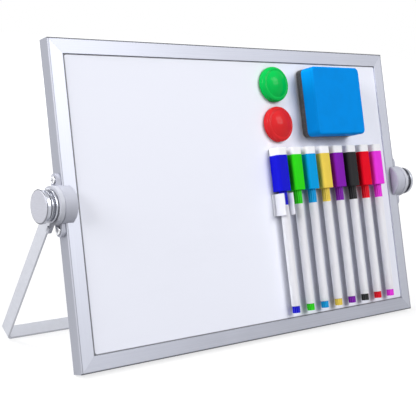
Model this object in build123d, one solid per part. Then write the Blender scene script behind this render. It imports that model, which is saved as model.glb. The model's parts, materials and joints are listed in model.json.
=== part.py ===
from build123d import *
import math
import os

# Desk whiteboard easel: a double-sided steel board in an aluminium frame, hung at mid-height
# between the legs of a bent flat-bar stand and clamped by two screw knobs.  Eight capped
# markers, two round magnets, a block eraser and a pen clip sit on the front face.
#
# Units are millimetres.  The board, and all it carries, is built upright in a board frame:
# origin on the tilt axis, +X to the right, +Y to the back, +Z up the board.  The stand is
# built hanging straight down in the same way.  Both are then turned about the tilt axis and
# lifted, so that the board's lower edge and the stand's crossbar rest on the plane Z = 0.
# The part's origin is on that plane, midway between the knobs and under the tilt axis.

# ---------------------------------------------------------------------------- board and frame
BOARD_WIDTH = 300.0
BOARD_HEIGHT = 200.0
FRAME_DEPTH = 9.4
RAIL_FACE = 9.6
RAIL_EDGE_RADIUS = 0.5
RAIL_WALL = 1.0
RAIL_LIP = 0.9
KEY_CHAMBER = 3.8
SHEET_THICKNESS = 0.4
PANEL_EDGE_GAP = 0.3
KEY_LEG = 20.0
KEY_FIT = 0.1
LEAN_DEG = 17.0

# ---------------------------------------------------------------------------- saddles
SADDLE_RADIUS = 12.0
SADDLE_GRIP = 5.7
SADDLE_PLATE = 3.2
SADDLE_CHAMFER = 0.7
SADDLE_FIT = 0.05
EAR_WIDTH = 7.6
EAR_THICKNESS = 2.6
EAR_SCREW_OFFSET = 15.0
EAR_SCREW_RADIUS = 1.4
EAR_SCREW_LENGTH = 6.0
EAR_SCREW_HEAD_RADIUS = 2.5
EAR_SCREW_HEAD = 1.1
EAR_SCREW_CROSS = 0.7
EAR_SCREW_SLOT = 1.5
INSERT_RADIUS = 4.0
INSERT_GROOVE = 0.3
ROUND_FIT = 0.05
RAIL_HOLE_FIT = 0.3

# ---------------------------------------------------------------------------- stand
BAR_WIDTH = 10.0
BAR_THICKNESS = 1.3
BAR_BEND_RADIUS = 3.0
STAND_SPREAD_DEG = 28.0834
HUB_RADIUS = 11.8
HUB_THICKNESS = 3.0
HUB_GAP = 0.15
HUB_LUG_START = 8.8
HUB_LUG_REACH = 15.4
HUB_LUG_WIDTH = 2.0
HUB_LUG_HOOK = 0.5
HUB_LUG_OVERLAP = 0.8
HUB_LUG_RELIEF = 1.0
CHANNEL_FIT = 0.05

# ---------------------------------------------------------------------------- knobs
STUD_RADIUS = 2.45
STUD_REACH = 7.2
STUD_HEAD_RADIUS = 3.0
STUD_HEAD = 5.2
STUD_RUN = 0.08
WASHER_RADIUS = 10.0
WASHER_THICKNESS = 0.8
WASHER_GAP = 0.1
KNOB_BASE_RADIUS = 10.2
KNOB_BASE = 1.1
KNOB_NECK_RADIUS = 8.3
KNOB_NECK = 3.4
KNOB_BEAD = 0.7
KNOB_RIM_RADIUS = 10.4
KNOB_RIM = 2.6
KNOB_EDGE = 0.4
KNOB_CAP_RADIUS = 9.7
KNOB_CAP = 1.3
KNOB_CAP_INSET = 1.0

# ---------------------------------------------------------------------------- lift-off pieces
SEAT_GAP = 0.3

MAGNET_RADIUS = 12.5
MAGNET_HEIGHT = 7.4
MAGNET_SHOULDER = 4.6
MAGNET_EDGE = 2.4
MAGNET_DISC_RADIUS = 9.0
MAGNET_DISC = 3.0
MAGNET_SIDE_MARGIN = 120.7
MAGNET_TOP_MARGIN = 26.0
MAGNET_PITCH = 28.4

ERASER_WIDTH = 49.8
ERASER_HEIGHT = 49.4
ERASER_DEPTH = 16.0
ERASER_FELT = 4.8
ERASER_CORNER = 3.5
ERASER_EDGE = 1.6
ERASER_SIDE_MARGIN = 70.8
ERASER_TOP_MARGIN = 39.7
ERASER_MAGNET_WIDTH = 30.0
ERASER_MAGNET_HEIGHT = 15.0
ERASER_MAGNET = 2.0

# ---------------------------------------------------------------------------- markers
MARKER_NAMES = ("blue", "green", "sky", "yellow", "purple", "black", "red", "magenta")
MARKER_PITCH = 14.25
MARKER_SIDE_MARGIN = 26.7
CAP_WIDTH = 10.0
CAP_DEPTH = 8.6
CAP_LENGTH = 25.2
CAP_TOP_MARGIN = 76.8
CAP_FRONT_CORNER = 2.0
CAP_BACK_CORNER = 0.3
CAP_FELT = 5.2
CAP_FELT_INSET = 0.1
CAP_MAGNET_RADIUS = 2.5
CAP_MAGNET = 3.0
NECK_RADIUS = 2.9
NECK_LENGTH = 9.6
NECK_PLUG_IN = 8.5
NECK_FLUTES = 12
NECK_FLUTE_DEPTH = 0.25
NECK_FLUTE_RADIUS = 0.45
NECK_COLLAR = 0.5
NIB_SLEEVE_RADIUS = 1.9
NIB_SLEEVE = 3.0
NIB_RADIUS = 1.1
NIB_LENGTH = 4.0
CAP_BORE_FIT = 0.08
CAP_BORE_SPARE = 1.5
BARREL_RADIUS = 3.0
BARREL_WALL = 0.6
BARREL_LENGTH = 70.4
SPIGOT_LENGTH = 6.0
SPIGOT_FIT = 0.05
PLUG_RADIUS = 2.65
PLUG_LENGTH = 4.7
PLUG_EDGE = 0.2

# ---------------------------------------------------------------------------- pen clip
CLIP_WIDTH = 9.6
CLIP_HEIGHT = 15.3
CLIP_REACH = 9.0
CLIP_WALL = 1.0
CLIP_FIT = 0.15
CLIP_STEP = 1.5
CLIP_TOP_GAP = 1.6
CLIP_MAGNET = 0.7
CLIP_MAGNET_WIDTH = 13.6

# ---------------------------------------------------------------------------- worked out
# How far a cutting shape runs past the face it opens.
OVERCUT = 1.0

HALF_WIDTH = BOARD_WIDTH / 2
HALF_HEIGHT = BOARD_HEIGHT / 2
HALF_DEPTH = FRAME_DEPTH / 2
GROOVE_START = 2 * RAIL_WALL + KEY_CHAMBER
PANEL_WIDTH = BOARD_WIDTH - 2 * (GROOVE_START + PANEL_EDGE_GAP)
PANEL_HEIGHT = BOARD_HEIGHT - 2 * (GROOVE_START + PANEL_EDGE_GAP)
PANEL_DEPTH = FRAME_DEPTH - 2 * RAIL_LIP
CORE_THICKNESS = PANEL_DEPTH - 2 * SHEET_THICKNESS
SURFACE_Y = -PANEL_DEPTH / 2
SEAT_Y = SURFACE_Y - SEAT_GAP

SADDLE_FACE_X = HALF_WIDTH + SADDLE_PLATE
EAR_FACE_X = HALF_WIDTH + EAR_THICKNESS
HUB_INNER_X = SADDLE_FACE_X + HUB_GAP
HUB_OUTER_X = HUB_INNER_X + HUB_THICKNESS
LEG_INNER_X = HUB_OUTER_X - BAR_THICKNESS
WASHER_X = HUB_OUTER_X + WASHER_GAP
KNOB_X = WASHER_X + WASHER_THICKNESS

MAGNET_X = HALF_WIDTH - MAGNET_SIDE_MARGIN
MAGNET_TOP_Z = HALF_HEIGHT - MAGNET_TOP_MARGIN
ERASER_X = HALF_WIDTH - ERASER_SIDE_MARGIN
ERASER_Z = HALF_HEIGHT - ERASER_TOP_MARGIN
FIRST_MARKER_X = HALF_WIDTH - MARKER_SIDE_MARGIN - (len(MARKER_NAMES) - 1) * MARKER_PITCH
MARKER_AXIS_Y = SEAT_Y - CAP_DEPTH / 2
CAP_TOP_Z = HALF_HEIGHT - CAP_TOP_MARGIN
CAP_BOTTOM_Z = CAP_TOP_Z - CAP_LENGTH
BARREL_TOP_Z = CAP_BOTTOM_Z - NECK_LENGTH
BARREL_BOTTOM_Z = BARREL_TOP_Z - BARREL_LENGTH
PEN_IN_CAP = NECK_PLUG_IN + NIB_SLEEVE + NIB_LENGTH


def pivot_height():
    """Height of the tilt axis when the board's rounded lower back edge rests on the plane."""
    lean = math.radians(LEAN_DEG)
    across = HALF_DEPTH - RAIL_EDGE_RADIUS
    down = HALF_HEIGHT - RAIL_EDGE_RADIUS
    return across * math.sin(lean) + down * math.cos(lean) + RAIL_EDGE_RADIUS


def stand_length():
    """Length of the legs, from the tilt axis to the crossbar's outer face.

    The crossbar's lower edge rests on the plane, half the bar's width off the legs' middle.
    """
    spread = math.radians(STAND_SPREAD_DEG)
    return (pivot_height() - BAR_WIDTH / 2 * math.sin(spread)) / math.cos(spread)


STAND_LENGTH = stand_length()
TILT_AXIS = Pos(0, 0, pivot_height())
BOARD_PLACE = TILT_AXIS * Rot(-LEAN_DEG, 0, 0)
STAND_PLACE = TILT_AXIS * Rot(STAND_SPREAD_DEG, 0, 0)
RIGHT = Rot(0, 0, 0)
LEFT = Rot(0, 0, 180)


# ---------------------------------------------------------------------------- helpers
def span(x, y, z):
    """Box between two limits on each axis, each given as (low, high)."""
    size = (x[1] - x[0], y[1] - y[0], z[1] - z[0])
    centre = ((x[0] + x[1]) / 2, (y[0] + y[1]) / 2, (z[0] + z[1]) / 2)
    return Pos(*centre) * Box(*size)


def x_rod(radius, start, end, y=0.0, z=0.0):
    """Cylinder along X between two places."""
    turned = Rot(0, 90, 0) * Cylinder(radius, end - start)
    return Pos((start + end) / 2, y, z) * turned


def z_rod(radius, start, end, x=0.0, y=0.0):
    """Cylinder along Z between two places."""
    return Pos(x, y, (start + end) / 2) * Cylinder(radius, end - start)


def spun(points):
    """Solid of revolution about Z from a closed outline of (radius, height) points."""
    outline = Polygon(*points, align=None)
    return revolve(Plane.XZ * outline, axis=Axis.Z)


def along_x(shape):
    """Turns a shape built along +Z so that it points along +X."""
    return Rot(0, 90, 0) * shape


def toward_viewer(shape, x, z):
    """Turns a shape built along +Z to point out of the front face, seated at (x, z)."""
    return Pos(x, SEAT_Y, z) * Rot(90, 0, 0) * shape


# ---------------------------------------------------------------------------- board
def rail_section():
    """Extrusion section: x runs inward from the outer edge, y across the frame's depth."""
    outline = Pos(RAIL_FACE / 2, 0) * Rectangle(RAIL_FACE, FRAME_DEPTH)
    outline = fillet(outline.vertices().group_by(Axis.X)[0], RAIL_EDGE_RADIUS)
    groove_depth = RAIL_FACE - GROOVE_START
    chamber = Pos(RAIL_WALL + KEY_CHAMBER / 2, 0) * Rectangle(KEY_CHAMBER, PANEL_DEPTH)
    groove = Pos(GROOVE_START + groove_depth / 2, 0) * Rectangle(groove_depth, PANEL_DEPTH)
    return outline - chamber - groove


def rail(length):
    """One rail along Z with its outer edge on X = 0, mitred at both ends."""
    half = length / 2
    bar = extrude(rail_section(), amount=half, both=True)
    corners = ((0, -half), (0, half), (RAIL_FACE, half - RAIL_FACE), (RAIL_FACE, RAIL_FACE - half))
    mitred = Plane.XZ * Polygon(*corners, align=None)
    return bar & extrude(mitred, amount=FRAME_DEPTH, both=True)


def side_rail():
    """Right rail, drilled for the ear screws and for the end of the knob's stud."""
    body = Pos(HALF_WIDTH, 0, 0) * Rot(0, 0, 180) * rail(BOARD_HEIGHT)
    wall = (HALF_WIDTH - RAIL_WALL - OVERCUT, HALF_WIDTH + OVERCUT)
    body -= x_rod(STUD_RADIUS + RAIL_HOLE_FIT, *wall)
    for side in (-1, 1):
        body -= x_rod(EAR_SCREW_RADIUS + ROUND_FIT, *wall, z=side * EAR_SCREW_OFFSET)
    return body


def panel_layer(front, back):
    """One layer of the panel, between two places across its depth."""
    half_x = PANEL_WIDTH / 2
    half_z = PANEL_HEIGHT / 2
    return span((-half_x, half_x), (front, back), (-half_z, half_z))


def corner_key():
    """Angle piece in the upper right corner, one leg in each rail's chamber."""
    inset = RAIL_WALL + KEY_FIT
    thick = KEY_CHAMBER - 2 * KEY_FIT
    half = PANEL_DEPTH / 2 - KEY_FIT
    right = HALF_WIDTH - inset
    top = HALF_HEIGHT - inset
    across = span((right - KEY_LEG, right), (-half, half), (top - thick, top))
    down = span((right - thick, right), (-half, half), (top - KEY_LEG, top))
    return across + down


def corner_keys():
    """The four keys, one in each corner."""
    key = corner_key()
    flipped = key.mirror(Plane.YZ)
    return [key, flipped, key.mirror(Plane.XY), flipped.mirror(Plane.XY)]


# ---------------------------------------------------------------------------- saddles
def saddle():
    """Right saddle: a round boss that straddles the rail, with an ear above and below."""
    inner = HALF_WIDTH - SADDLE_GRIP
    boss = along_x(
        spun(
            (
                (0, inner),
                (SADDLE_RADIUS - SADDLE_CHAMFER, inner),
                (SADDLE_RADIUS, inner + SADDLE_CHAMFER),
                (SADDLE_RADIUS, SADDLE_FACE_X - SADDLE_CHAMFER),
                (SADDLE_RADIUS - SADDLE_CHAMFER, SADDLE_FACE_X),
                (0, SADDLE_FACE_X),
            )
        )
    )
    straight = 2 * EAR_SCREW_OFFSET
    ear_plan = Plane.YZ * Rot(0, 0, 90) * SlotCenterToCenter(straight, EAR_WIDTH)
    ears = Pos(HALF_WIDTH, 0, 0) * extrude(ear_plan, amount=EAR_THICKNESS)
    gap = HALF_DEPTH + SADDLE_FIT
    rail_space = span((inner - OVERCUT, HALF_WIDTH), (-gap, gap), (-HALF_HEIGHT, HALF_HEIGHT))
    body = boss + ears - rail_space
    body -= x_rod(INSERT_RADIUS + ROUND_FIT, HALF_WIDTH - OVERCUT, SADDLE_FACE_X + OVERCUT)
    for side in (-1, 1):
        z = side * EAR_SCREW_OFFSET
        hole = (HALF_WIDTH - OVERCUT, EAR_FACE_X + OVERCUT)
        body -= x_rod(EAR_SCREW_RADIUS + ROUND_FIT, *hole, z=z)
    return body


def ear_screw(z):
    """Pan-head cross-slot screw through an ear of the right saddle."""
    tip = EAR_FACE_X - EAR_SCREW_LENGTH
    head = x_rod(EAR_SCREW_HEAD_RADIUS, EAR_FACE_X, EAR_FACE_X + EAR_SCREW_HEAD, z=z)
    head = fillet(head.edges().group_by(Axis.X)[-1], EAR_SCREW_HEAD / 2)
    body = head + x_rod(EAR_SCREW_RADIUS, tip, EAR_FACE_X, z=z)
    half = EAR_SCREW_CROSS / 2
    depth = (EAR_FACE_X + EAR_SCREW_HEAD / 2, EAR_FACE_X + EAR_SCREW_HEAD + OVERCUT)
    body -= span(depth, (-EAR_SCREW_SLOT, EAR_SCREW_SLOT), (z - half, z + half))
    body -= span(depth, (-half, half), (z - EAR_SCREW_SLOT, z + EAR_SCREW_SLOT))
    return body


def threaded_insert():
    """Grooved brass sleeve in the right saddle that takes the stud."""
    groove = INSERT_RADIUS - INSERT_GROOVE
    middle = (HALF_WIDTH + SADDLE_FACE_X) / 2
    bore = STUD_RADIUS + ROUND_FIT
    return along_x(
        spun(
            (
                (bore, HALF_WIDTH),
                (INSERT_RADIUS, HALF_WIDTH),
                (INSERT_RADIUS, middle - INSERT_GROOVE),
                (groove, middle - INSERT_GROOVE),
                (groove, middle + INSERT_GROOVE),
                (INSERT_RADIUS, middle + INSERT_GROOVE),
                (INSERT_RADIUS, SADDLE_FACE_X),
                (bore, SADDLE_FACE_X),
            )
        )
    )


# ---------------------------------------------------------------------------- stand
def u_outline(half, bottom, radius):
    """Upright rectangle from the axis down to bottom, its two lower corners rounded."""
    outline = Pos(0, bottom / 2) * Rectangle(2 * half, -bottom)
    return fillet(outline.vertices().group_by(Axis.Y)[0], radius)


def stand_bar():
    """Flat bar bent into a U, its two ends rounded and drilled on the tilt axis."""
    inner_radius = BAR_BEND_RADIUS - BAR_THICKNESS
    outer = u_outline(HUB_OUTER_X, -STAND_LENGTH, BAR_BEND_RADIUS)
    inner = u_outline(LEG_INNER_X, BAR_THICKNESS - STAND_LENGTH, inner_radius)
    body = extrude(Plane.XZ * (outer - inner), amount=BAR_WIDTH / 2, both=True)
    for ends in ((LEG_INNER_X, HUB_OUTER_X), (-HUB_OUTER_X, -LEG_INNER_X)):
        body += x_rod(BAR_WIDTH / 2, *ends)
        body -= x_rod(STUD_RADIUS + STUD_RUN, ends[0] - OVERCUT, ends[1] + OVERCUT)
    return body


def leg_hub():
    """Right hub: a disc whose channel holds the leg's end, with a lug each side of the leg."""
    half_channel = BAR_WIDTH / 2 + CHANNEL_FIT
    floor = LEG_INNER_X - CHANNEL_FIT
    body = x_rod(HUB_RADIUS, HUB_INNER_X, HUB_OUTER_X)
    lug_face = HUB_OUTER_X + HUB_LUG_HOOK
    lug_edge = half_channel + HUB_LUG_WIDTH
    hook_edge = half_channel - HUB_LUG_OVERLAP
    for side in (-1, 1):
        edge = sorted((side * half_channel, side * lug_edge))
        hook = sorted((side * hook_edge, side * lug_edge))
        lug_length = (-HUB_LUG_REACH, -HUB_LUG_START)
        hook_length = (-HUB_LUG_REACH, -HUB_RADIUS - CHANNEL_FIT)
        body += span((HUB_INNER_X + HUB_LUG_RELIEF, HUB_OUTER_X), edge, lug_length)
        body += span((HUB_OUTER_X, lug_face), hook, hook_length)
    reach = HUB_LUG_REACH + OVERCUT
    body -= span((floor, HUB_OUTER_X), (-half_channel, half_channel), (-reach, 0))
    body -= x_rod(half_channel, floor, HUB_OUTER_X)
    return body - x_rod(STUD_RADIUS + STUD_RUN, HUB_INNER_X - OVERCUT, HUB_OUTER_X + OVERCUT)


# ---------------------------------------------------------------------------- knobs
def knob():
    """Right knob: base ring, beaded neck and rim, hollowed for the cap disc and the stud."""
    neck = KNOB_X + KNOB_BASE
    rim = neck + KNOB_NECK
    face = rim + KNOB_RIM
    bead = neck + KNOB_NECK / 2 - KNOB_BEAD / 2
    bead_radius = KNOB_NECK_RADIUS + KNOB_BEAD
    recess = face - KNOB_CAP_INSET
    recess_radius = KNOB_CAP_RADIUS + ROUND_FIT
    bore = STUD_HEAD_RADIUS + ROUND_FIT
    return along_x(
        spun(
            (
                (bore, KNOB_X),
                (KNOB_BASE_RADIUS, KNOB_X),
                (KNOB_BASE_RADIUS, neck - KNOB_EDGE),
                (KNOB_BASE_RADIUS - KNOB_EDGE, neck),
                (KNOB_NECK_RADIUS, neck),
                (KNOB_NECK_RADIUS, bead),
                (bead_radius, bead),
                (bead_radius, bead + KNOB_BEAD),
                (KNOB_NECK_RADIUS, bead + KNOB_BEAD),
                (KNOB_NECK_RADIUS, rim),
                (KNOB_RIM_RADIUS - KNOB_EDGE, rim),
                (KNOB_RIM_RADIUS, rim + KNOB_EDGE),
                (KNOB_RIM_RADIUS, face - KNOB_EDGE),
                (KNOB_RIM_RADIUS - KNOB_EDGE, face),
                (recess_radius, face),
                (recess_radius, recess),
                (bore, recess),
            )
        )
    )


def knob_cap():
    """Flat disc set in the right knob's outer end."""
    start = KNOB_X + KNOB_BASE + KNOB_NECK + KNOB_RIM - KNOB_CAP_INSET
    end = start + KNOB_CAP
    return along_x(
        spun(
            (
                (0, start),
                (KNOB_CAP_RADIUS, start),
                (KNOB_CAP_RADIUS, end - KNOB_EDGE),
                (KNOB_CAP_RADIUS - KNOB_EDGE, end),
                (0, end),
            )
        )
    )


def knob_screw():
    """Right stud, moulded into the knob by its head, and the loose washer on it."""
    tip = SADDLE_FACE_X - STUD_REACH
    stud = x_rod(STUD_RADIUS, tip, KNOB_X)
    stud = chamfer(stud.edges().group_by(Axis.X)[0], KNOB_EDGE)
    stud += x_rod(STUD_HEAD_RADIUS, KNOB_X, KNOB_X + STUD_HEAD)
    washer = x_rod(WASHER_RADIUS, WASHER_X, KNOB_X)
    washer -= x_rod(STUD_RADIUS + ROUND_FIT, WASHER_X - OVERCUT, KNOB_X + OVERCUT)
    return [stud, washer]


# ---------------------------------------------------------------------------- magnets, eraser
def magnet_cap():
    """Round grip built along +Z: straight skirt, rounded shoulder and shallow crown."""
    crown_edge = MAGNET_RADIUS - MAGNET_EDGE
    skirt_top = MAGNET_SHOULDER - MAGNET_EDGE
    bulge = MAGNET_EDGE * math.sqrt(0.5)
    rise = MAGNET_HEIGHT - MAGNET_SHOULDER
    crown_radius = (crown_edge**2 + rise**2) / (2 * rise)
    half_way = crown_edge / 2
    half_rise = MAGNET_HEIGHT - crown_radius + math.sqrt(crown_radius**2 - half_way**2)
    foot = Polyline((0, MAGNET_HEIGHT), (0, 0), (MAGNET_RADIUS, 0), (MAGNET_RADIUS, skirt_top))
    shoulder = ThreePointArc(
        (MAGNET_RADIUS, skirt_top),
        (crown_edge + bulge, skirt_top + bulge),
        (crown_edge, MAGNET_SHOULDER),
    )
    crown = ThreePointArc((crown_edge, MAGNET_SHOULDER), (half_way, half_rise), (0, MAGNET_HEIGHT))
    outline = make_face([Plane.XZ * line for line in (foot, shoulder, crown)])
    body = revolve(outline, axis=Axis.Z)
    return body - z_rod(MAGNET_DISC_RADIUS + ROUND_FIT, -OVERCUT, MAGNET_DISC)


def magnet_disc():
    """Ferrite disc flush with the back of the grip."""
    return z_rod(MAGNET_DISC_RADIUS, 0, MAGNET_DISC)


def eraser_block(start, end):
    """Slab of the eraser's outline between two heights, its four corners rounded."""
    outline = RectangleRounded(ERASER_WIDTH, ERASER_HEIGHT, ERASER_CORNER)
    return Pos(0, 0, start) * extrude(outline, amount=end - start)


def eraser_magnet_space(clearance):
    """Room for the eraser's magnet strip, in the back of its body."""
    half_x = ERASER_MAGNET_WIDTH / 2 + clearance
    half_y = ERASER_MAGNET_HEIGHT / 2 + clearance
    top = ERASER_FELT + ERASER_MAGNET + clearance
    return span((-half_x, half_x), (-half_y, half_y), (ERASER_FELT, top))


def eraser_body():
    """Moulded foam grip over the felt, rounded all round its outer face."""
    block = eraser_block(ERASER_FELT, ERASER_DEPTH)
    block = fillet(block.edges().group_by(Axis.Z)[-1], ERASER_EDGE)
    return block - eraser_magnet_space(ROUND_FIT)


# ---------------------------------------------------------------------------- markers
def cap_block(inset, low, high):
    """Block of the cap's outline less an inset: nearly square behind, rounded in front."""
    half_x = CAP_WIDTH / 2 - inset
    half_y = CAP_DEPTH / 2 - inset
    block = span((-half_x, half_x), (-half_y, half_y), (low, high))
    front = block.edges().filter_by(Axis.Z).group_by(Axis.Y)[0]
    block = fillet(front, CAP_FRONT_CORNER)
    back = block.edges().filter_by(Axis.Z).group_by(Axis.Y)[-1]
    return fillet(back, CAP_BACK_CORNER)


def marker_cap():
    """Square cap bored from below for the pen, with a pocket for its magnet at the top."""
    body = cap_block(0, CAP_BOTTOM_Z, CAP_TOP_Z)
    bore_top = CAP_BOTTOM_Z + PEN_IN_CAP + CAP_BORE_SPARE
    body -= z_rod(NECK_RADIUS + CAP_BORE_FIT, CAP_BOTTOM_Z - OVERCUT, bore_top)
    pocket = (CAP_TOP_Z - CAP_MAGNET, CAP_TOP_Z + OVERCUT)
    return body - z_rod(CAP_MAGNET_RADIUS + ROUND_FIT, *pocket)


def cap_magnet():
    """Round magnet in the top of a cap, under the felt."""
    return z_rod(CAP_MAGNET_RADIUS, CAP_TOP_Z - CAP_MAGNET, CAP_TOP_Z)


def cap_felt():
    """Felt eraser glued to the top of a cap."""
    return cap_block(CAP_FELT_INSET, CAP_TOP_Z, CAP_TOP_Z + CAP_FELT)


def barrel():
    """White tube of the pen."""
    outer = z_rod(BARREL_RADIUS, BARREL_BOTTOM_Z, BARREL_TOP_Z)
    bore = (BARREL_BOTTOM_Z - OVERCUT, BARREL_TOP_Z + OVERCUT)
    return outer - z_rod(BARREL_RADIUS - BARREL_WALL, *bore)


def neck():
    """Fluted grip section: spigot in the barrel, collar, plug and nib sleeve in the cap."""
    spigot = BARREL_RADIUS - BARREL_WALL - SPIGOT_FIT
    top = CAP_BOTTOM_Z + NECK_PLUG_IN
    sleeve_top = top + NIB_SLEEVE
    outline = (
        (0, BARREL_TOP_Z - SPIGOT_LENGTH),
        (spigot, BARREL_TOP_Z - SPIGOT_LENGTH),
        (spigot, BARREL_TOP_Z),
        (NECK_RADIUS, BARREL_TOP_Z),
        (NECK_RADIUS, top),
        (NIB_SLEEVE_RADIUS, sleeve_top - NIB_SLEEVE / 2),
        (NIB_SLEEVE_RADIUS, sleeve_top),
        (0, sleeve_top),
    )
    body = spun(outline) - z_rod(NIB_RADIUS, top, sleeve_top + OVERCUT)
    offset = NECK_RADIUS + NECK_FLUTE_RADIUS - NECK_FLUTE_DEPTH
    for k in range(NECK_FLUTES):
        turn = 2 * math.pi * k / NECK_FLUTES
        x = offset * math.cos(turn)
        y = offset * math.sin(turn)
        body -= z_rod(NECK_FLUTE_RADIUS, BARREL_TOP_Z + NECK_COLLAR, CAP_BOTTOM_Z, x, y)
    return body


def nib():
    """Round-ended felt nib in the neck's sleeve."""
    start = CAP_BOTTOM_Z + NECK_PLUG_IN
    end = CAP_BOTTOM_Z + PEN_IN_CAP
    body = z_rod(NIB_RADIUS, start, end)
    return fillet(body.edges().group_by(Axis.Z)[-1], NIB_RADIUS / 2)


def end_plug():
    """Plug that closes the lower end of the barrel."""
    spigot = BARREL_RADIUS - BARREL_WALL - SPIGOT_FIT
    foot = BARREL_BOTTOM_Z - PLUG_LENGTH
    edge = PLUG_RADIUS - PLUG_EDGE
    outline = (
        (0, foot),
        (edge, foot),
        (PLUG_RADIUS, foot + PLUG_EDGE),
        (PLUG_RADIUS, BARREL_BOTTOM_Z),
        (spigot, BARREL_BOTTOM_Z),
        (spigot, BARREL_BOTTOM_Z + SPIGOT_LENGTH),
        (0, BARREL_BOTTOM_Z + SPIGOT_LENGTH),
    )
    return spun(outline)


def pen_clip():
    """Open channel round the first marker, with its magnet strip on the back."""
    top = CAP_BOTTOM_Z - CLIP_TOP_GAP
    height = (top - CLIP_HEIGHT, top)
    back = CAP_DEPTH / 2
    front = back - CLIP_MAGNET - CLIP_REACH
    half = CLIP_WIDTH / 2
    inner = half - CLIP_WALL
    trough = BARREL_RADIUS + CLIP_FIT
    through = (height[0] - OVERCUT, height[1] + OVERCUT)
    body = span((-half, half), (front, back - CLIP_MAGNET), height)
    body -= z_rod(trough, *through)
    body -= span((-inner, inner), (front - OVERCUT, -CLIP_STEP), through)
    body -= span((-trough, trough), (-CLIP_STEP, 0), through)
    half_strip = CLIP_MAGNET_WIDTH / 2
    strip = span((-half_strip, half_strip), (back - CLIP_MAGNET, back), height)
    return [body, strip]


# ---------------------------------------------------------------------------- assembly
def on_board(shapes, place=RIGHT):
    """Shapes of the board frame put in their real place, on the right or the left."""
    return [BOARD_PLACE * place * shape for shape in shapes]


def on_stand(shapes):
    """Shapes of the stand put in their real place."""
    return [STAND_PLACE * shape for shape in shapes]


def board_nodes():
    """Frame, panel and saddles."""
    top = Pos(0, 0, HALF_HEIGHT) * Rot(0, 90, 0) * rail(BOARD_WIDTH)
    bottom = Pos(0, 0, -HALF_HEIGHT) * Rot(0, -90, 0) * rail(BOARD_WIDTH)
    half_core = CORE_THICKNESS / 2
    half_panel = PANEL_DEPTH / 2
    right_screws = [ear_screw(side * EAR_SCREW_OFFSET) for side in (-1, 1)]
    insert = threaded_insert()
    return {
        "top_rail": on_board([top]),
        "bottom_rail": on_board([bottom]),
        "left_rail": on_board([side_rail()], LEFT),
        "right_rail": on_board([side_rail()]),
        "corner_keys": on_board(corner_keys()),
        "front_sheet": on_board([panel_layer(-half_panel, -half_core)]),
        "core_board": on_board([panel_layer(-half_core, half_core)]),
        "rear_sheet": on_board([panel_layer(half_core, half_panel)]),
        "left_saddle": on_board([saddle()], LEFT),
        "right_saddle": on_board([saddle()]),
        "saddle_screws": on_board(right_screws) + on_board(right_screws, LEFT),
        "threaded_inserts": on_board([insert]) + on_board([insert], LEFT),
    }


def stand_nodes():
    """Bent bar and its two hubs."""
    return {
        "stand_bar": on_stand([stand_bar()]),
        "leg_hubs": on_stand([leg_hub(), leg_hub().mirror(Plane.YZ)]),
    }


def knob_nodes():
    """Both knobs, each with its cap disc, stud and washer."""
    nodes = {}
    for side, place in (("left", LEFT), ("right", RIGHT)):
        nodes[side + "_knob"] = on_board([knob()], place)
        nodes[side + "_knob_cap"] = on_board([knob_cap()], place)
        nodes[side + "_knob_screw"] = on_board(knob_screw(), place)
    return nodes


def accessory_nodes():
    """Round magnets and eraser on the front face."""
    nodes = {}
    for row, colour in enumerate(("green", "red")):
        z = MAGNET_TOP_Z - row * MAGNET_PITCH
        nodes[colour + "_magnet_cap"] = on_board([toward_viewer(magnet_cap(), MAGNET_X, z)])
        nodes[colour + "_magnet_disc"] = on_board([toward_viewer(magnet_disc(), MAGNET_X, z)])
    eraser = {
        "eraser_body": eraser_body(),
        "eraser_felt": eraser_block(0, ERASER_FELT),
        "eraser_magnet": eraser_magnet_space(0),
    }
    for name, shape in eraser.items():
        nodes[name] = on_board([toward_viewer(shape, ERASER_X, ERASER_Z)])
    return nodes


def marker_nodes():
    """Eight markers side by side, and the clip round the first one."""
    pieces = {
        "_cap": [marker_cap(), cap_magnet()],
        "_cap_felt": [cap_felt()],
        "_barrel": [barrel()],
        "_neck": [neck(), nib(), end_plug()],
    }
    nodes = {}
    for k, colour in enumerate(MARKER_NAMES):
        place = Pos(FIRST_MARKER_X + k * MARKER_PITCH, MARKER_AXIS_Y, 0)
        for suffix, shapes in pieces.items():
            nodes[colour + suffix] = on_board(shapes, place)
    nodes["pen_clip"] = on_board(pen_clip(), Pos(FIRST_MARKER_X, MARKER_AXIS_Y, 0))
    return nodes


def main():
    """Builds every node and writes it to its own STEP file."""
    os.makedirs("parts", exist_ok=True)
    nodes = {**board_nodes(), **stand_nodes(), **knob_nodes(), **accessory_nodes(), **marker_nodes()}
    for name, shapes in nodes.items():
        solids = [solid for shape in shapes for solid in shape.solids()]
        shape = solids[0] if len(solids) == 1 else Compound(children=solids)
        export_step(shape, os.path.join("parts", name + ".step"))
    print("nodes:", len(nodes))
    print("pivot height:", round(pivot_height(), 3))
    print("legs' length:", round(STAND_LENGTH, 3))


main()
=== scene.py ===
"""Finishes and fine forms of a desk whiteboard easel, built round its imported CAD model.

The board, with all it carries, and the stand each have a local frame of their own: the origin
on the tilt axis, +X to the right, +Y to the back and +Z up.  Forms are worked out there in
millimetres, and Place turns them about the tilt axis into the part's frame, in metres.
"""

import json
import logging
import math
from dataclasses import dataclass
from enum import Enum

import bpy
import numpy as np
from mathutils import Matrix, Vector


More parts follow.
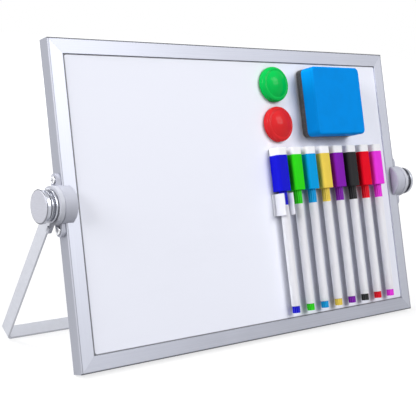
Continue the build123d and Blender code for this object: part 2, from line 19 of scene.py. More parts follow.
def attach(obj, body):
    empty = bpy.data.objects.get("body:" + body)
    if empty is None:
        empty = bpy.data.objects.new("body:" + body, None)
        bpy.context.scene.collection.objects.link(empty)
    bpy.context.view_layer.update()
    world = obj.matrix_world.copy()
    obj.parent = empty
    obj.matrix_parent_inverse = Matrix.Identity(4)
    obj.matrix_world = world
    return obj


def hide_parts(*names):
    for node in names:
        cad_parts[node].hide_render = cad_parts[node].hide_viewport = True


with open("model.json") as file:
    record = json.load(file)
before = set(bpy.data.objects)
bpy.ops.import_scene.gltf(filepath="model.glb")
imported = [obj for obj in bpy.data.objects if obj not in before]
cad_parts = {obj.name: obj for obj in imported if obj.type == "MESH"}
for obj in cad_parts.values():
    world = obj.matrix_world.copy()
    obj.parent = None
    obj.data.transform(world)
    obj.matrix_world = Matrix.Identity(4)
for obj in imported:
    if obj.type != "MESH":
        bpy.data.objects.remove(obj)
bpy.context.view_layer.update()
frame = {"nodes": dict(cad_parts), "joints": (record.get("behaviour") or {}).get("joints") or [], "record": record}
LOG = logging.getLogger("easel")
MM = 0.001

# ------------------------------------------------------------------------- shared sizes, in mm
BOARD_WIDTH = 300.0
BOARD_HEIGHT = 200.0
FRAME_DEPTH = 9.4
RAIL_FACE = 9.6
RAIL_LIP = 0.9
SADDLE_PLATE = 3.2
EAR_SCREW_OFFSET = 15.0
HUB_GAP = 0.15
HUB_THICKNESS = 3.0
WASHER_GAP = 0.1
WASHER_THICKNESS = 0.8
KNOB_BASE = 1.1
KNOB_NECK = 3.4
KNOB_RIM = 2.6
SEAT_GAP = 0.3
STAND_SPREAD_DEG = 28.0834
BAR_WIDTH = 10.0
BAR_THICKNESS = 1.3

# Distances from the board's middle, outward along the tilt axis.
SADDLE_FACE_X = BOARD_WIDTH / 2 + SADDLE_PLATE
HUB_OUTER_X = SADDLE_FACE_X + HUB_GAP + HUB_THICKNESS
WASHER_X = HUB_OUTER_X + WASHER_GAP
KNOB_SEAT_X = WASHER_X + WASHER_THICKNESS

# Depths from the board's middle: its front sheet's face, and the backs of what stands off it.
SURFACE_Y = RAIL_LIP - FRAME_DEPTH / 2
SEAT_Y = SURFACE_Y - SEAT_GAP


# ------------------------------------------------------------------------- places
@dataclass(frozen=True)
class Place:
    """A local frame on the tilt axis.

    Attributes:
        pivot: Height of the tilt axis above the table, in metres.
        turn: Turn about the tilt axis, in radians.
    """

    pivot: float
    turn: float

    def put(self, points: np.ndarray) -> np.ndarray:
        """Turns local millimetres into metres in the part's frame.

        y' = y cos t - z sin t and z' = pivot + y sin t + z cos t, both after scaling to metres.

        Args:
            points: Array whose last axis is x, y, z.

        Returns:
            An array of the same shape.
        """
        x, y, z = np.moveaxis(points * MM, -1, 0)
        cos, sin = math.cos(self.turn), math.sin(self.turn)
        return np.stack([x, y * cos - z * sin, self.pivot + y * sin + z * cos], axis=-1)


def tilt_height() -> float:
    """Returns the height of the tilt axis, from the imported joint."""
    joint = next(j for j in frame["joints"] if j["name"] == "stand_tilt")
    return joint["pos_m"][2]


def board_lean() -> float:
    """Returns the board's lean in radians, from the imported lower-edge mount."""
    mount = next(m for m in frame["record"]["mounts"] if m["name"] == "bottom_edge")
    return math.asin(-mount["axis"][1])


ON_BOARD = Place(tilt_height(), -board_lean())
ON_STAND = Place(tilt_height(), math.radians(STAND_SPREAD_DEG))

# The part's own frame, which stands on the table.
ON_TABLE = Place(0.0, 0.0)


def stand_length() -> float:
    """Returns the legs' length in millimetres, with the crossbar's lower edge on the table."""
    spread = ON_STAND.turn
    return (tilt_height() / MM - BAR_WIDTH / 2 * math.sin(spread)) / math.cos(spread)


# ------------------------------------------------------------------------- outlines
# Radius of the ring that a closing fan starts from.
POLE_RADIUS = 0.3

# Share of an edge's radius by which the flat end face starts inside the rounding.
END_INSET = 0.12


def rounded(corners: list[tuple[float, float, float]], steps: int = 6) -> np.ndarray:
    """Closed outline with round corners.

    At each corner the two sides meet an arc of radius r, which starts and ends r / tan(half
    the corner's angle) from the corner, and whose points turn evenly about the arc's centre.

    Args:
        corners: x, y and radius of each corner, in order.
        steps: Points on each arc.

    Returns:
        Points of the outline, as an array of (x, y).
    """
    spots = np.array([c[:2] for c in corners], float)
    runs = []
    for k, (x, y, radius) in enumerate(corners):
        here = np.array([x, y])
        if radius <= 0:
            runs.append(here[None])
            continue
        back = spots[k - 1] - here
        ahead = spots[(k + 1) % len(spots)] - here
        back /= np.linalg.norm(back)
        ahead /= np.linalg.norm(ahead)
        half = math.acos(np.clip(back @ ahead, -1, 1)) / 2
        middle = (back + ahead) / np.linalg.norm(back + ahead)
        centre = here + middle * radius / math.sin(half)
        start = here + back * radius / math.tan(half) - centre
        sweep = math.pi - 2 * half
        side = np.sign(start[0] * -middle[1] + start[1] * middle[0])
        angle = np.linspace(0, sweep * side, steps)[:, None]
        turned = np.stack([-start[1], start[0]])
        runs.append(centre + start * np.cos(angle) + turned * np.sin(angle))
    return np.concatenate(runs)


def box_outline(half_x: float, half_y: float, corner: float, steps: int = 6) -> np.ndarray:
    """Rounded rectangle about the origin.

    Args:
        half_x: Half its size along x.
        half_y: Half its size along y.
        corner: Radius of its corners.
        steps: Points on each corner's arc.

    Returns:
        Points (x, y) of the outline, anticlockwise.
    """
    return rounded(
        [
            (half_x, -half_y, corner),
            (half_x, half_y, corner),
            (-half_x, half_y, corner),
            (-half_x, -half_y, corner),
        ],
        steps,
    )


def outline_normals(outline: np.ndarray) -> np.ndarray:
    """Outward normals of a closed outline that runs anticlockwise.

    Each is the direction between the two neighbours, turned a quarter clockwise.

    Args:
        outline: Its points (x, y).

    Returns:
        One unit vector for each point.
    """
    along = np.roll(outline, -1, axis=0) - np.roll(outline, 1, axis=0)
    along /= np.linalg.norm(along, axis=1, keepdims=True)
    return np.stack([along[:, 1], -along[:, 0]], axis=1)


def edge_levels(low: float, high: float, foot: float, crown: float, steps: int = 5) -> np.ndarray:
    """Inset and height of the rings of a slab whose lower and upper edges are quarter rounds.

    On a quarter round of radius e the inset is e (1 - sin a) and the height e (1 - cos a).

    Args:
        low: Height of the lower face.
        high: Height of the upper face.
        foot: Radius of the lower edge.
        crown: Radius of the upper edge.
        steps: Rings on each quarter.

    Returns:
        Array of (inset, height), from the lower face to the upper one.
    """
    angle = np.linspace(0, math.pi / 2, steps)
    lower = np.stack([foot * (1 - np.sin(angle)), low + foot * (1 - np.cos(angle))], axis=1)
    upper = np.stack([crown * (1 - np.cos(angle)), high - crown * (1 - np.sin(angle))], axis=1)
    first = np.array([[foot * (1 + END_INSET), low]])
    last = np.array([[crown * (1 + END_INSET), high]])
    return np.concatenate([first, lower, upper, last])


def slab_rings(outline: np.ndarray, levels: np.ndarray) -> np.ndarray:
    """Rings of a slab: each is the outline moved inward along its normals by the inset.

    Args:
        outline: Points (x, y) of the full outline.
        levels: Inset and height of each ring.

    Returns:
        Array of rings, each an array of (x, y, height).
    """
    inward = outline[None] - levels[:, 0, None, None] * outline_normals(outline)[None]
    height = np.broadcast_to(levels[:, 1, None, None], inward.shape[:2] + (1,))
    return np.concatenate([inward, height], axis=-1)


def turned_rings(profile: np.ndarray, segments: int = 96) -> np.ndarray:
    """Rings of a turned piece: each point of the profile goes once round the axis.

    Args:
        profile: Points (radius, height), in order.
        segments: Points on each ring.

    Returns:
        Array of rings, each an array of (x, y, height).
    """
    angle = np.linspace(0, 2 * math.pi, segments, endpoint=False)
    circle = np.stack([np.cos(angle), np.sin(angle)], axis=1)
    flat = profile[:, 0, None, None] * circle[None]
    height = np.broadcast_to(profile[:, 1, None, None], flat.shape[:2] + (1,))
    return np.concatenate([flat, height], axis=-1)


# ------------------------------------------------------------------------- meshes
# Name of the meshes' point attribute that holds the relief of a fluted wall.
RIB_LAYER = "rib"


class Ends(Enum):
    """How the first and last rings of a form are closed."""

    FLAT = "flat"
    POLE = "pole"
    JOINED = "joined"


class Form:
    """Closed surfaces gathered into the mesh of one piece."""

    def __init__(self, place: Place) -> None:
        """Starts an empty form.

        Args:
            place: The local frame that its points are given in.
        """
        self.place = place
        self.points: list[np.ndarray] = []
        self.faces: list[list[int]] = []
        self.ribs: list[np.ndarray] = []
        self.count = 0

    def add(
        self, rings: np.ndarray, ends: Ends = Ends.FLAT, ribs: np.ndarray | None = None
    ) -> "Form":
        """Adds one closed surface given by rings of equal length.

        Quads join each ring to the next.  The ends are closed by a flat face, by a fan about
        the ring's middle point, or by joining the last ring to the first.  The sign of the
        wall's volume about its middle, summed as a . (b x c) over the quads' triangles, says
        whether the faces are turned round.

        Args:
            rings: Array of rings, points and coordinates, in local millimetres.
            ends: How the two ends are closed.
            ribs: For each point, 1 on a rib's crest, -1 in a groove and 0 on a plain wall.

        Returns:
            The form itself.
        """
        many, around = rings.shape[:2]
        last = many if ends is Ends.JOINED else many - 1
        i, j = np.meshgrid(np.arange(last), np.arange(around), indexing="ij")
        here = i * around + j
        beside = i * around + (j + 1) % around
        above = (i + 1) % many * around + j
        across = (i + 1) % many * around + (j + 1) % around
        quads = np.stack([here, beside, across, above], axis=-1).reshape(-1, 4)
        sheets = [quads]
        points = rings.reshape(-1, 3)
        a, b, c, d = (points[quads[:, k]] for k in range(4))
        first_ring = np.arange(around)
        last_ring = first_ring + (many - 1) * around
        if ends is Ends.FLAT:
            sheets += [first_ring[None, ::-1], last_ring[None]]
        if ends is Ends.POLE:
            middle = np.stack([rings[0].mean(axis=0), rings[-1].mean(axis=0)])
            points = np.concatenate([points, middle])
            foot = np.full(around, many * around)
            sheets += [
                np.stack([foot, np.roll(first_ring, -1), first_ring], axis=1),
                np.stack([foot + 1, last_ring, np.roll(last_ring, -1)], axis=1),
            ]
        about = points.mean(axis=0)
        volume = np.einsum("ij,ij->", a - about, np.cross(b - about, c - about))
        volume += np.einsum("ij,ij->", a - about, np.cross(c - about, d - about))
        order = slice(None, None, -1 if volume < 0 else 1)
        for sheet in sheets:
            self.faces += (sheet[:, order] + self.count).tolist()
        self.points.append(points)
        relief = np.zeros(len(points))
        if ribs is not None:
            relief[: ribs.size] = ribs.ravel()
        self.ribs.append(relief)
        self.count += len(points)
        return self

    def build(self, name: str, sharp: float = 40.0) -> bpy.types.Object:
        """Makes the piece's object, with smooth shading between faces that meet gently.

        Normals are weighted by the faces' areas, which keeps the flat faces flat to the eye.

        Args:
            name: The piece's name.
            sharp: Angle between two faces, in degrees, past which their edge stays sharp.

        Returns:
            The object, at the origin, with its place in its mesh.
        """
        mesh = bpy.data.meshes.new(name)
        placed = self.place.put(np.concatenate(self.points))
        mesh.from_pydata(placed.tolist(), [], self.faces)
        mesh.shade_smooth()
        mesh.set_sharp_from_angle(angle=math.radians(sharp))
        mesh.update()
        relief = np.concatenate(self.ribs)
        if relief.any():
            layer = mesh.attributes.new(RIB_LAYER, "FLOAT", "POINT")
            layer.data.foreach_set("value", relief.astype(np.float32))
        piece = bpy.data.objects.new(name, mesh)
        bpy.context.scene.collection.objects.link(piece)
        even = piece.modifiers.new("even_normals", "WEIGHTED_NORMAL")
        even.keep_sharp = True
        return piece


def along_x(rings: np.ndarray, side: int = 1) -> np.ndarray:
    """Lays rings built along +Z on their side, so that they point along +X, or -X if side is -1."""
    x, y, z = np.moveaxis(rings, -1, 0)
    return np.stack([side * z, y, x], axis=-1)


def off_face(rings: np.ndarray, x: float, z: float) -> np.ndarray:
    """Stands rings built along +Z on the board's face, pointing to the viewer, at (x, z)."""
    across, up, out = np.moveaxis(rings, -1, 0)
    return np.stack([x + across, SEAT_Y - out, z + up], axis=-1)


def shifted(rings: np.ndarray, x: float, y: float) -> np.ndarray:
    """Moves rings built along +Z sideways to (x, y)."""
    return rings + np.array([x, y, 0.0])


# ------------------------------------------------------------------------- shader graphs
class Wire:
    """A value of a shader graph.  Arithmetic on it adds Math nodes."""

    def __init__(self, graph: "Graph", socket: bpy.types.NodeSocket) -> None:
        """Wraps one output socket."""
        self.graph = graph
        self.socket = socket

    def _math(self, operation: str, *values: "Wire | float") -> "Wire":
        """Adds a Math node with these values, in order."""
        return self.graph.node(
            "ShaderNodeMath", {"operation": operation}, dict(enumerate(values))
        )

    def __add__(self, other: "Wire | float") -> "Wire":
        """Sum."""
        return self._math("ADD", self, other)

    __radd__ = __add__

    def __sub__(self, other: "Wire | float") -> "Wire":
        """Difference."""
        return self._math("SUBTRACT", self, other)

    def __rsub__(self, other: float) -> "Wire":
        """Difference, from a number."""
        return self._math("SUBTRACT", other, self)

    def __mul__(self, other: "Wire | float") -> "Wire":
        """Product."""
        return self._math("MULTIPLY", self, other)

    def __truediv__(self, other: "Wire | float") -> "Wire":
        """Quotient."""
        return self._math("DIVIDE", self, other)

    def __abs__(self) -> "Wire":
        """Size without its sign."""
        return self._math("ABSOLUTE", self)

    def root(self) -> "Wire":
        """Square root."""
        return self._math("SQRT", self)

    def at_least(self, other: "Wire | float") -> "Wire":
        """The larger of the two."""
        return self._math("MAXIMUM", self, other)

    def band(self, middle: float, half: float, soft: float) -> "Wire":
        """One within half of the middle value, fading to zero over the soft width."""
        return abs(self - middle).fall(half, half + soft)

    def fall(self, low: float, high: float) -> "Wire":
        """One up to low, falling smoothly to zero at high."""
        return self.ramp(low, high, 1.0, 0.0)

    def ramp(self, low: float, high: float, start: float = 0.0, end: float = 1.0) -> "Wire":
        """Smooth step.

        Args:
            low: Value up to which it gives start.
            high: Value from which it gives end.
            start: What it gives at first.
            end: What it gives at last.

        Returns:
            The step.
        """
        settings = {"interpolation_type": "SMOOTHSTEP"}
        inputs = {"Value": self, "From Min": low, "From Max": high, "To Min": start, "To Max": end}
        return self.graph.node("ShaderNodeMapRange", settings, inputs, "Result")


class Ending(Enum):
    """The shader and the output that a node tree ends in."""

    SURFACE = ("ShaderNodeBsdfPrincipled", "ShaderNodeOutputMaterial")
    SKY = ("ShaderNodeBackground", "ShaderNodeOutputWorld")


class Graph:
    """The node tree of one material, or of the surroundings."""

    def __init__(
        self, owner: bpy.types.Material | bpy.types.World, ending: Ending = Ending.SURFACE
    ) -> None:
        """Empties the owner's tree and gives it its shader and output.

        Args:
            owner: The material or the surroundings.
            ending: What the tree ends in.
        """
        owner.use_nodes = True
        self.tree = owner.node_tree
        self.tree.nodes.clear()
        shader, output = (self.tree.nodes.new(kind) for kind in ending.value)
        self.tree.links.new(shader.outputs[0], output.inputs["Surface"])
        self.shader = shader

    def node(
        self,
        kind: str,
        settings: dict[str, object] | None = None,
        inputs: dict[int | str, object] | None = None,
        output: int | str = 0,
    ) -> Wire:
        """Adds a node.

        Args:
            kind: The node's type.
            settings: Its own settings, set first.
            inputs: Values or wires for its sockets, by name or number.
            output: The socket whose wire is returned.

        Returns:
            The wire of that output.
        """
        made = self.tree.nodes.new(kind)
        for key, value in (settings or {}).items():
            setattr(made, key, value)
        for key, value in (inputs or {}).items():
            self.feed(made.inputs[key], value)
        return Wire(self, made.outputs[output])

    def feed(self, socket: bpy.types.NodeSocket, value: object) -> None:
        """Links a wire to a socket, or sets the socket to a plain value."""
        if isinstance(value, Wire):
            self.tree.links.new(value.socket, socket)
        else:
            socket.default_value = value

    def surface(self, **values: object) -> None:
        """Feeds the shader's sockets; an underscore in a name stands for a space."""
        for key, value in values.items():
            self.feed(self.shader.inputs[key.replace("_", " ")], value)

    def local(self, place: Place) -> Wire:
        """Object coordinates turned into a local frame.

        Args:
            place: The local frame.

        Returns:
            The place of a point there, in metres from the frame's origin.
        """
        coordinates = self.node("ShaderNodeTexCoord", None, None, "Object")
        inputs = {
            "Vector": coordinates,
            "Location": (0.0, 0.0, place.pivot),
            "Rotation": (place.turn, 0.0, 0.0),
        }
        return self.node("ShaderNodeMapping", {"vector_type": "TEXTURE"}, inputs)

    def stretch(self, vector: Wire, scale: tuple[float, float, float]) -> Wire:
        """Scales a vector by its own factor on each axis."""
        inputs = {0: vector, 1: scale}
        return self.node("ShaderNodeVectorMath", {"operation": "MULTIPLY"}, inputs, "Vector")

    def parts(self, vector: Wire) -> tuple[Wire, Wire, Wire]:
        """Splits a vector.

        Args:
            vector: The vector.

        Returns:
            Its three coordinates.
        """
        first = self.node("ShaderNodeSeparateXYZ", None, {"Vector": vector})
        sockets = first.socket.node.outputs
        return tuple(Wire(self, sockets[axis]) for axis in "XYZ")

    def noise(self, vector: Wire, scale: float, detail: float = 3.0, rough: float = 0.55) -> Wire:
        """Fractal noise from 0 to 1."""
        inputs = {"Vector": vector, "Scale": scale, "Detail": detail, "Roughness": rough}
        return self.node("ShaderNodeTexNoise", None, inputs, "Fac")

    def cells(self, vector: Wire, scale: float) -> Wire:
        """Distance to the nearest point of a random scatter."""
        return self.node("ShaderNodeTexVoronoi", None, {"Vector": vector, "Scale": scale}, "Distance")

    def blend(self, factor: Wire | float, first: object, second: object) -> Wire:
        """Mixes two colours.

        Args:
            factor: Share of the second colour, 0 to 1.
            first: Colour or wire at 0.
            second: Colour or wire at 1.

        Returns:
            The mixed colour.
        """
        settings = {"data_type": "RGBA"}
        inputs = {"Factor": factor, 6: first, 7: second}
        return self.node("ShaderNodeMix", settings, inputs, 2)

    def ribs(self) -> Wire:
        """The form's relief: 1 on a crest, -1 in a groove, 0 on a plain wall."""
        settings = {"attribute_type": "GEOMETRY", "attribute_name": RIB_LAYER}
        return self.node("ShaderNodeAttribute", settings, None, "Fac")

    def bump(self, height: Wire, distance: float, strength: float = 1.0) -> Wire:
        """Normal of a relief whose height runs over the distance, in metres."""
        inputs = {"Height": height, "Distance": distance, "Strength": strength}
        return self.node("ShaderNodeBump", None, inputs, "Normal")


def rgb(red: float, green: float, blue: float) -> tuple[float, float, float, float]:
    """Linear colour of an sRGB one given from 0 to 255.

    Each channel is c / 12.92 up to 0.04045, and ((c + 0.055) / 1.055) ** 2.4 past it.

    Args:
        red: Its red channel.
        green: Its green channel.
        blue: Its blue channel.

    Returns:
        Red, green, blue and a full alpha, each from 0 to 1.
    """
    channel = np.array([red, green, blue]) / 255
    low = channel / 12.92
    high = ((channel + 0.055) / 1.055) ** 2.4
    return (*np.where(channel <= 0.04045, low, high).tolist(), 1.0)


def shade_of(colour: tuple[float, ...], factor: float) -> tuple[float, ...]:
    """Returns the colour with its three channels multiplied by the factor."""
    return (*[channel * factor for channel in colour[:3]], 1.0)


WHITE = (1.0, 1.0, 1.0, 1.0)
BLACK = (0.0, 0.0, 0.0, 1.0)


# ------------------------------------------------------------------------- finishes
@dataclass(frozen=True)
class Finish:
    """One surface finish.

    Attributes:
        name: The finish's name, which its material's name starts with.
        place: The local frame that its pattern lies in.
        colour: Its main colour, linear.
    """

    name: str
    place: Place
    colour: tuple[float, ...]

    def slot(self) -> str:
        """The record's material slot, which has the finish's name."""
        return self.name

    def shade(self, graph: Graph) -> None:
        """Builds the finish's nodes."""
        raise NotImplementedError

    def material(self) -> bpy.types.Material:
        """Returns the finish's material, made once."""
        label = self.name + "_finish"
        made = bpy.data.materials.get(label)
        if made is None:
            made = bpy.data.materials.new(label)
            self.shade(Graph(made))
        return made

    def dress(self, piece: bpy.types.Object) -> None:
        """Gives the piece this finish as its only material."""
        piece.data.materials.clear()
        piece.data.materials.append(self.material())


@dataclass(frozen=True)
class DrawnMetal(Finish):
    """Metal with fine lines along one direction, satin all over.

    Attributes:
        lines: Pattern scale on each axis, per metre; the lines run along the smallest.
        rough: Roughness at its smoothest.
        spread: How much rougher it gets.
        depth: Depth of the lines, in metres.
        contrast: Share by which the lines darken the colour.
    """

    lines: tuple[float, float, float] = (15.0, 2400.0, 2400.0)
    rough: float = 0.36
    spread: float = 0.16
    depth: float = 1.2e-5
    contrast: float = 0.10

    def shade(self, graph: Graph) -> None:
        """Lines from noise stretched along one axis, under a slow cloud of handling marks.

        Args:
            graph: The finish's graph.
        """
        spot = graph.local(self.place)
        grain = graph.noise(graph.stretch(spot, self.lines), 1.0, 4.0, 0.6)
        cloud = graph.noise(spot, 22.0, 2.0)
        dust_and_shade = graph.noise(spot, 1500.0, 2.0)
        tone = grain.ramp(0.3, 0.7) * 0.7 + cloud.ramp(0.35, 0.7) * 0.3
        dark = shade_of(self.colour, 1.0 - self.contrast)
        light = shade_of(self.colour, 1.0 + self.contrast / 3)
        graph.surface(
            Base_Color=self.marked(graph, spot, graph.blend(tone, dark, light)),
            Metallic=1.0,
            Roughness=self.rough + grain * self.spread * 0.6 + cloud * self.spread * 0.4,
            Normal=graph.bump(grain * 0.8 + dust_and_shade * 0.2, self.depth, 0.6),
        )

    def marked(self, graph: Graph, spot: Wire, colour: Wire) -> Wire:
        """Returns the colour with its marks at known places: none on plain drawn metal."""
        return colour


@dataclass(frozen=True)
class RailMetal(DrawnMetal):
    """Anodised rail, with painted dark reflections along its edges and a painted highlight to the left.

    A pair of sizes says where a mark begins to change and where it has changed, in metres.

    Attributes:
        lips_painted_bright: Whether the lips' inner faces are painted bright, a painted reflection of the board.
        face: Depth from the rail's middle, where the front and back faces begin.
        edge_dark_reflection: Distance in from the frame's top or bottom, where the painted dark reflection ends.
        side_dark_line: Middle, half width and soft width of the painted dark reflection beside the frame's side.
        lip: Distance in from the frame's side, where the lip's inner face begins.
        lip_depth: Depth from the rail's middle, where the lip's inner face ends.
        left_highlight: Place across the board, between the brighter left end of the painted highlight and the
            plain middle.
        left_highlight_share: How far the left end goes towards its brighter colour, a painted highlight.
    """

    lips_painted_bright: bool = False
    face: tuple[float, float] = (0.0040, 0.0043)
    edge_dark_reflection: tuple[float, float] = (0.0006, 0.0011)
    side_dark_line: tuple[float, float, float] = (0.00085, 0.0002, 0.0002)
    lip: tuple[float, float] = (0.00945, 0.00955)
    lip_depth: tuple[float, float] = (0.0045, 0.0046)
    left_highlight: tuple[float, float] = (-0.15, 0.0)
    left_highlight_share: float = 0.35

    def slot(self) -> str:
        """The rails drawn across and upright share one slot of the record."""
        return "frame_aluminium"

    def marked(self, graph: Graph, spot: Wire, colour: Wire) -> Wire:
        """Painted reflections and highlights follow the distance in from the frame's outline and the depth.

        Args:
            graph: The finish's graph.
            spot: The place in the local frame.
            colour: The colour without marks.

        Returns:
            The colour with its marks.
        """
        x, y, z = graph.parts(spot)
        from_side = BOARD_WIDTH / 2 * MM - abs(x)
        from_end = BOARD_HEIGHT / 2 * MM - abs(z)
        face = abs(y).ramp(*self.face)
        # Painted dark reflection on the rounded outer edges at the top and bottom.
        edge_dark_reflection = from_end.fall(*self.edge_dark_reflection) * face
        # Painted dark reflection: a thin dark line beside the frame's sides.
        side_dark_line = from_side.band(*self.side_dark_line) * face
        # Painted highlight: the rail is made brighter towards its left end.
        left_highlight = x.ramp(*self.left_highlight, self.left_highlight_share, 0.0)
        colour = graph.blend(left_highlight, colour, shade_of(self.colour, 1.5))
        # Painted reflection: the lips' inner faces are lightened as if they mirrored the white board.
        if self.lips_painted_bright:
            lip = from_side.ramp(*self.lip) * abs(y).fall(*self.lip_depth)
            colour = graph.blend(lip, colour, shade_of(self.colour, 2.2))
        with_side_line = graph.blend(side_dark_line * 0.55, colour, shade_of(self.colour, 0.2))
        return graph.blend(edge_dark_reflection * 0.8, with_side_line, shade_of(self.colour, 0.12))


@dataclass(frozen=True)
class BarMetal(DrawnMetal):
    """Plated flat bar, darker along its long edges.

    Attributes:
        darker_edges: Distance from the bar's edge, where the dark begins and where it is full, in
            metres.
    """

    darker_edges: tuple[float, float] = (0.0005, 0.0001)

    def marked(self, graph: Graph, spot: Wire, colour: Wire) -> Wire:
        """The darker edges are half the bar's width from its middle.

        Args:
            graph: The finish's graph.
            spot: The place in the local frame.
            colour: The colour without marks.

        Returns:
            The colour with its marks.
        """
        across = graph.parts(spot)[1]
        half = BAR_WIDTH / 2 * MM
        darker_edges = abs(across).ramp(*[half - inset for inset in self.darker_edges])
        return graph.blend(darker_edges * 0.7, colour, shade_of(self.colour, 0.6))


@dataclass(frozen=True)
class Enamel(Finish):
    """Dry-wipe lacquer on sheet steel: smooth, with faint traces of wiping, painted shade and a painted shadow
    border.

    Attributes:
        border: Half sizes of the panel inside the painted shadow border, in metres.
        shift: How far the panel's middle lies off the frame's, across and up.
        corner: Radius of the border's corners.
        lip_shadow: How far the painted shadow's edge fades on each side, in metres.
        dust_and_shade: How dark the painted shade is where pieces stand close to the sheet.
        shade_reach: How near a piece stands for painted shade to fall beside it, in metres.
        shade_rays: Directions in which nearby pieces are looked for.
    """

    border: tuple[float, float] = (0.1398, 0.089715)
    shift: tuple[float, float] = (0.0008, 0.000085)
    corner: float = 0.0015
    lip_shadow: float = 0.00015
    dust_and_shade: float = 0.6
    shade_reach: float = 0.008
    shade_rays: int = 12

    def past_border(self, graph: Graph, spot: Wire) -> Wire:
        """Distance past the border's round-cornered outline.

        It is the length of the overshoot past the rectangle shrunk by the corner's radius,
        less that radius.

        Args:
            graph: The finish's graph.
            spot: The place on the board.

        Returns:
            The distance in metres, below zero inside the border.
        """
        x, _, z = graph.parts(spot)
        over_x = (abs(x - self.shift[0]) - (self.border[0] - self.corner)).at_least(0.0)
        over_z = (abs(z - self.shift[1]) - (self.border[1] - self.corner)).at_least(0.0)
        return (over_x * over_x + over_z * over_z).root() - self.corner

    def shade(self, graph: Graph) -> None:
        """Wiping leaves long soft clouds in patches, and shade is painted close to the pieces on the board.

        Args:
            graph: The finish's graph.
        """
        spot = graph.local(self.place)
        drift = graph.noise(spot, 7.0, 2.0)
        wipes = graph.noise(graph.stretch(spot, (11.0, 1.0, 46.0)), 1.0, 5.0, 0.62)
        traces = wipes.ramp(0.48, 0.78) * drift.ramp(0.35, 0.7)
        specks = graph.noise(spot, 1900.0, 1.0).ramp(0.74, 0.8)
        ripple = graph.noise(spot, 310.0, 1.0)
        wiped = graph.blend(traces * 0.4, self.colour, shade_of(self.colour, 0.96))
        unshaded = graph.blend(specks * 0.12, wiped, shade_of(self.colour, 0.6))
        # Painted shade: the sheet darkens where pieces close by hide it from the surroundings.
        settings = {"samples": self.shade_rays}
        inputs = {"Distance": self.shade_reach}
        openness = graph.node("ShaderNodeAmbientOcclusion", settings, inputs, "AO")
        dust_and_shade = (1.0 - openness).ramp(0.25, 0.8) * self.dust_and_shade
        occlusion_shaded = graph.blend(dust_and_shade, unshaded, shade_of(self.colour, 0.2))
        # Painted shadow: a dark border where the frame's lip shades the sheet.
        lip_shadow = self.past_border(graph, spot).ramp(-self.lip_shadow, self.lip_shadow)
        graph.surface(
            Base_Color=graph.blend(lip_shadow, occlusion_shaded, shade_of(self.colour, 0.25)),
            Roughness=0.44 + traces * 0.05 + drift * 0.04,
            Normal=graph.bump(ripple, 3e-6, 0.4),
            Specular_IOR_Level=0.2,
        )


@dataclass(frozen=True)
class Moulding(Finish):
    """Moulded plastic.

    Attributes:
        rough: Roughness at its smoothest.
        grain: Size of the surface texture, in grains per metre.
        depth: Depth of the texture, in metres.
        contrast: Share by which the flow marks darken the colour.
        coat: Weight of the gloss over it.
        gloss: Specular level.
        flow: Pattern scale of the flow marks on each axis, per metre.
        ribbed: Whether the ribs' crests get a painted highlight and their grooves painted shade.
        depth_lit: How much light spreads under the surface.
        painted_glow: Painted light, a glow in the plastic's own colour, as a share of plain daylight.
    """

    rough: float = 0.3
    grain: float = 1800.0
    depth: float = 6e-6
    contrast: float = 0.08
    coat: float = 0.0
    gloss: float = 0.15
    flow: tuple[float, float, float] = (180.0, 180.0, 25.0)
    ribbed: bool = False
    depth_lit: float = 0.0
    painted_glow: float = 0.0

    def ribs_painted_lit(self, graph: Graph, colour: Wire) -> Wire:
        """Paints light and shade on the ribs.

        Args:
            graph: The finish's graph.
            colour: The colour so far.

        Returns:
            The colour, with a painted highlight on the ribs' crests and painted shade in the grooves.
        """
        relief = graph.ribs()
        # Painted highlight on the crests, painted shade in the grooves.
        crest_highlight = (*[channel + (1 - channel) * 0.12 for channel in self.colour[:3]], 1.0)
        with_crest_highlights = graph.blend(relief.at_least(0.0) * 0.4, colour, crest_highlight)
        return graph.blend((relief * -1.0).at_least(0.0) * 0.45, with_crest_highlights, shade_of(self.colour, 0.4))

    def shade(self, graph: Graph) -> None:
        """Flow marks along the draw, rubbed patches and a fine texture.

        Args:
            graph: The finish's graph.
        """
        spot = graph.local(self.place)
        marks = graph.noise(graph.stretch(spot, self.flow), 1.0, 3.0)
        rubs = graph.noise(spot, 130.0, 4.0, 0.65)
        scuffs = graph.noise(graph.stretch(spot, (900.0, 900.0, 70.0)), 1.0, 2.0).ramp(0.66, 0.74)
        texture = graph.noise(spot, self.grain, 2.0)
        tone = marks.ramp(0.3, 0.7) * 0.6 + rubs.ramp(0.3, 0.7) * 0.4
        dark = shade_of(self.colour, 1.0 - self.contrast)
        light = shade_of(self.colour, 1.0 + self.contrast / 2)
        colour = graph.blend(tone, dark, light)
        graph.surface(
            Base_Color=self.ribs_painted_lit(graph, colour) if self.ribbed else colour,
            Roughness=self.rough + rubs * 0.12 + scuffs * 0.10,
            Normal=graph.bump(texture * 0.7 + marks * 0.3, self.depth, 0.7),
            Specular_IOR_Level=self.gloss,
            Coat_Weight=self.coat,
            Coat_Roughness=0.06,
            Subsurface_Weight=self.depth_lit,
            Subsurface_Radius=(1.0, 1.0, 1.0),
            Subsurface_Scale=0.004,
            # Painted light: the glow brightens sides that the lamps leave in shade.
            Emission_Color=self.colour,
            Emission_Strength=self.painted_glow,
        )


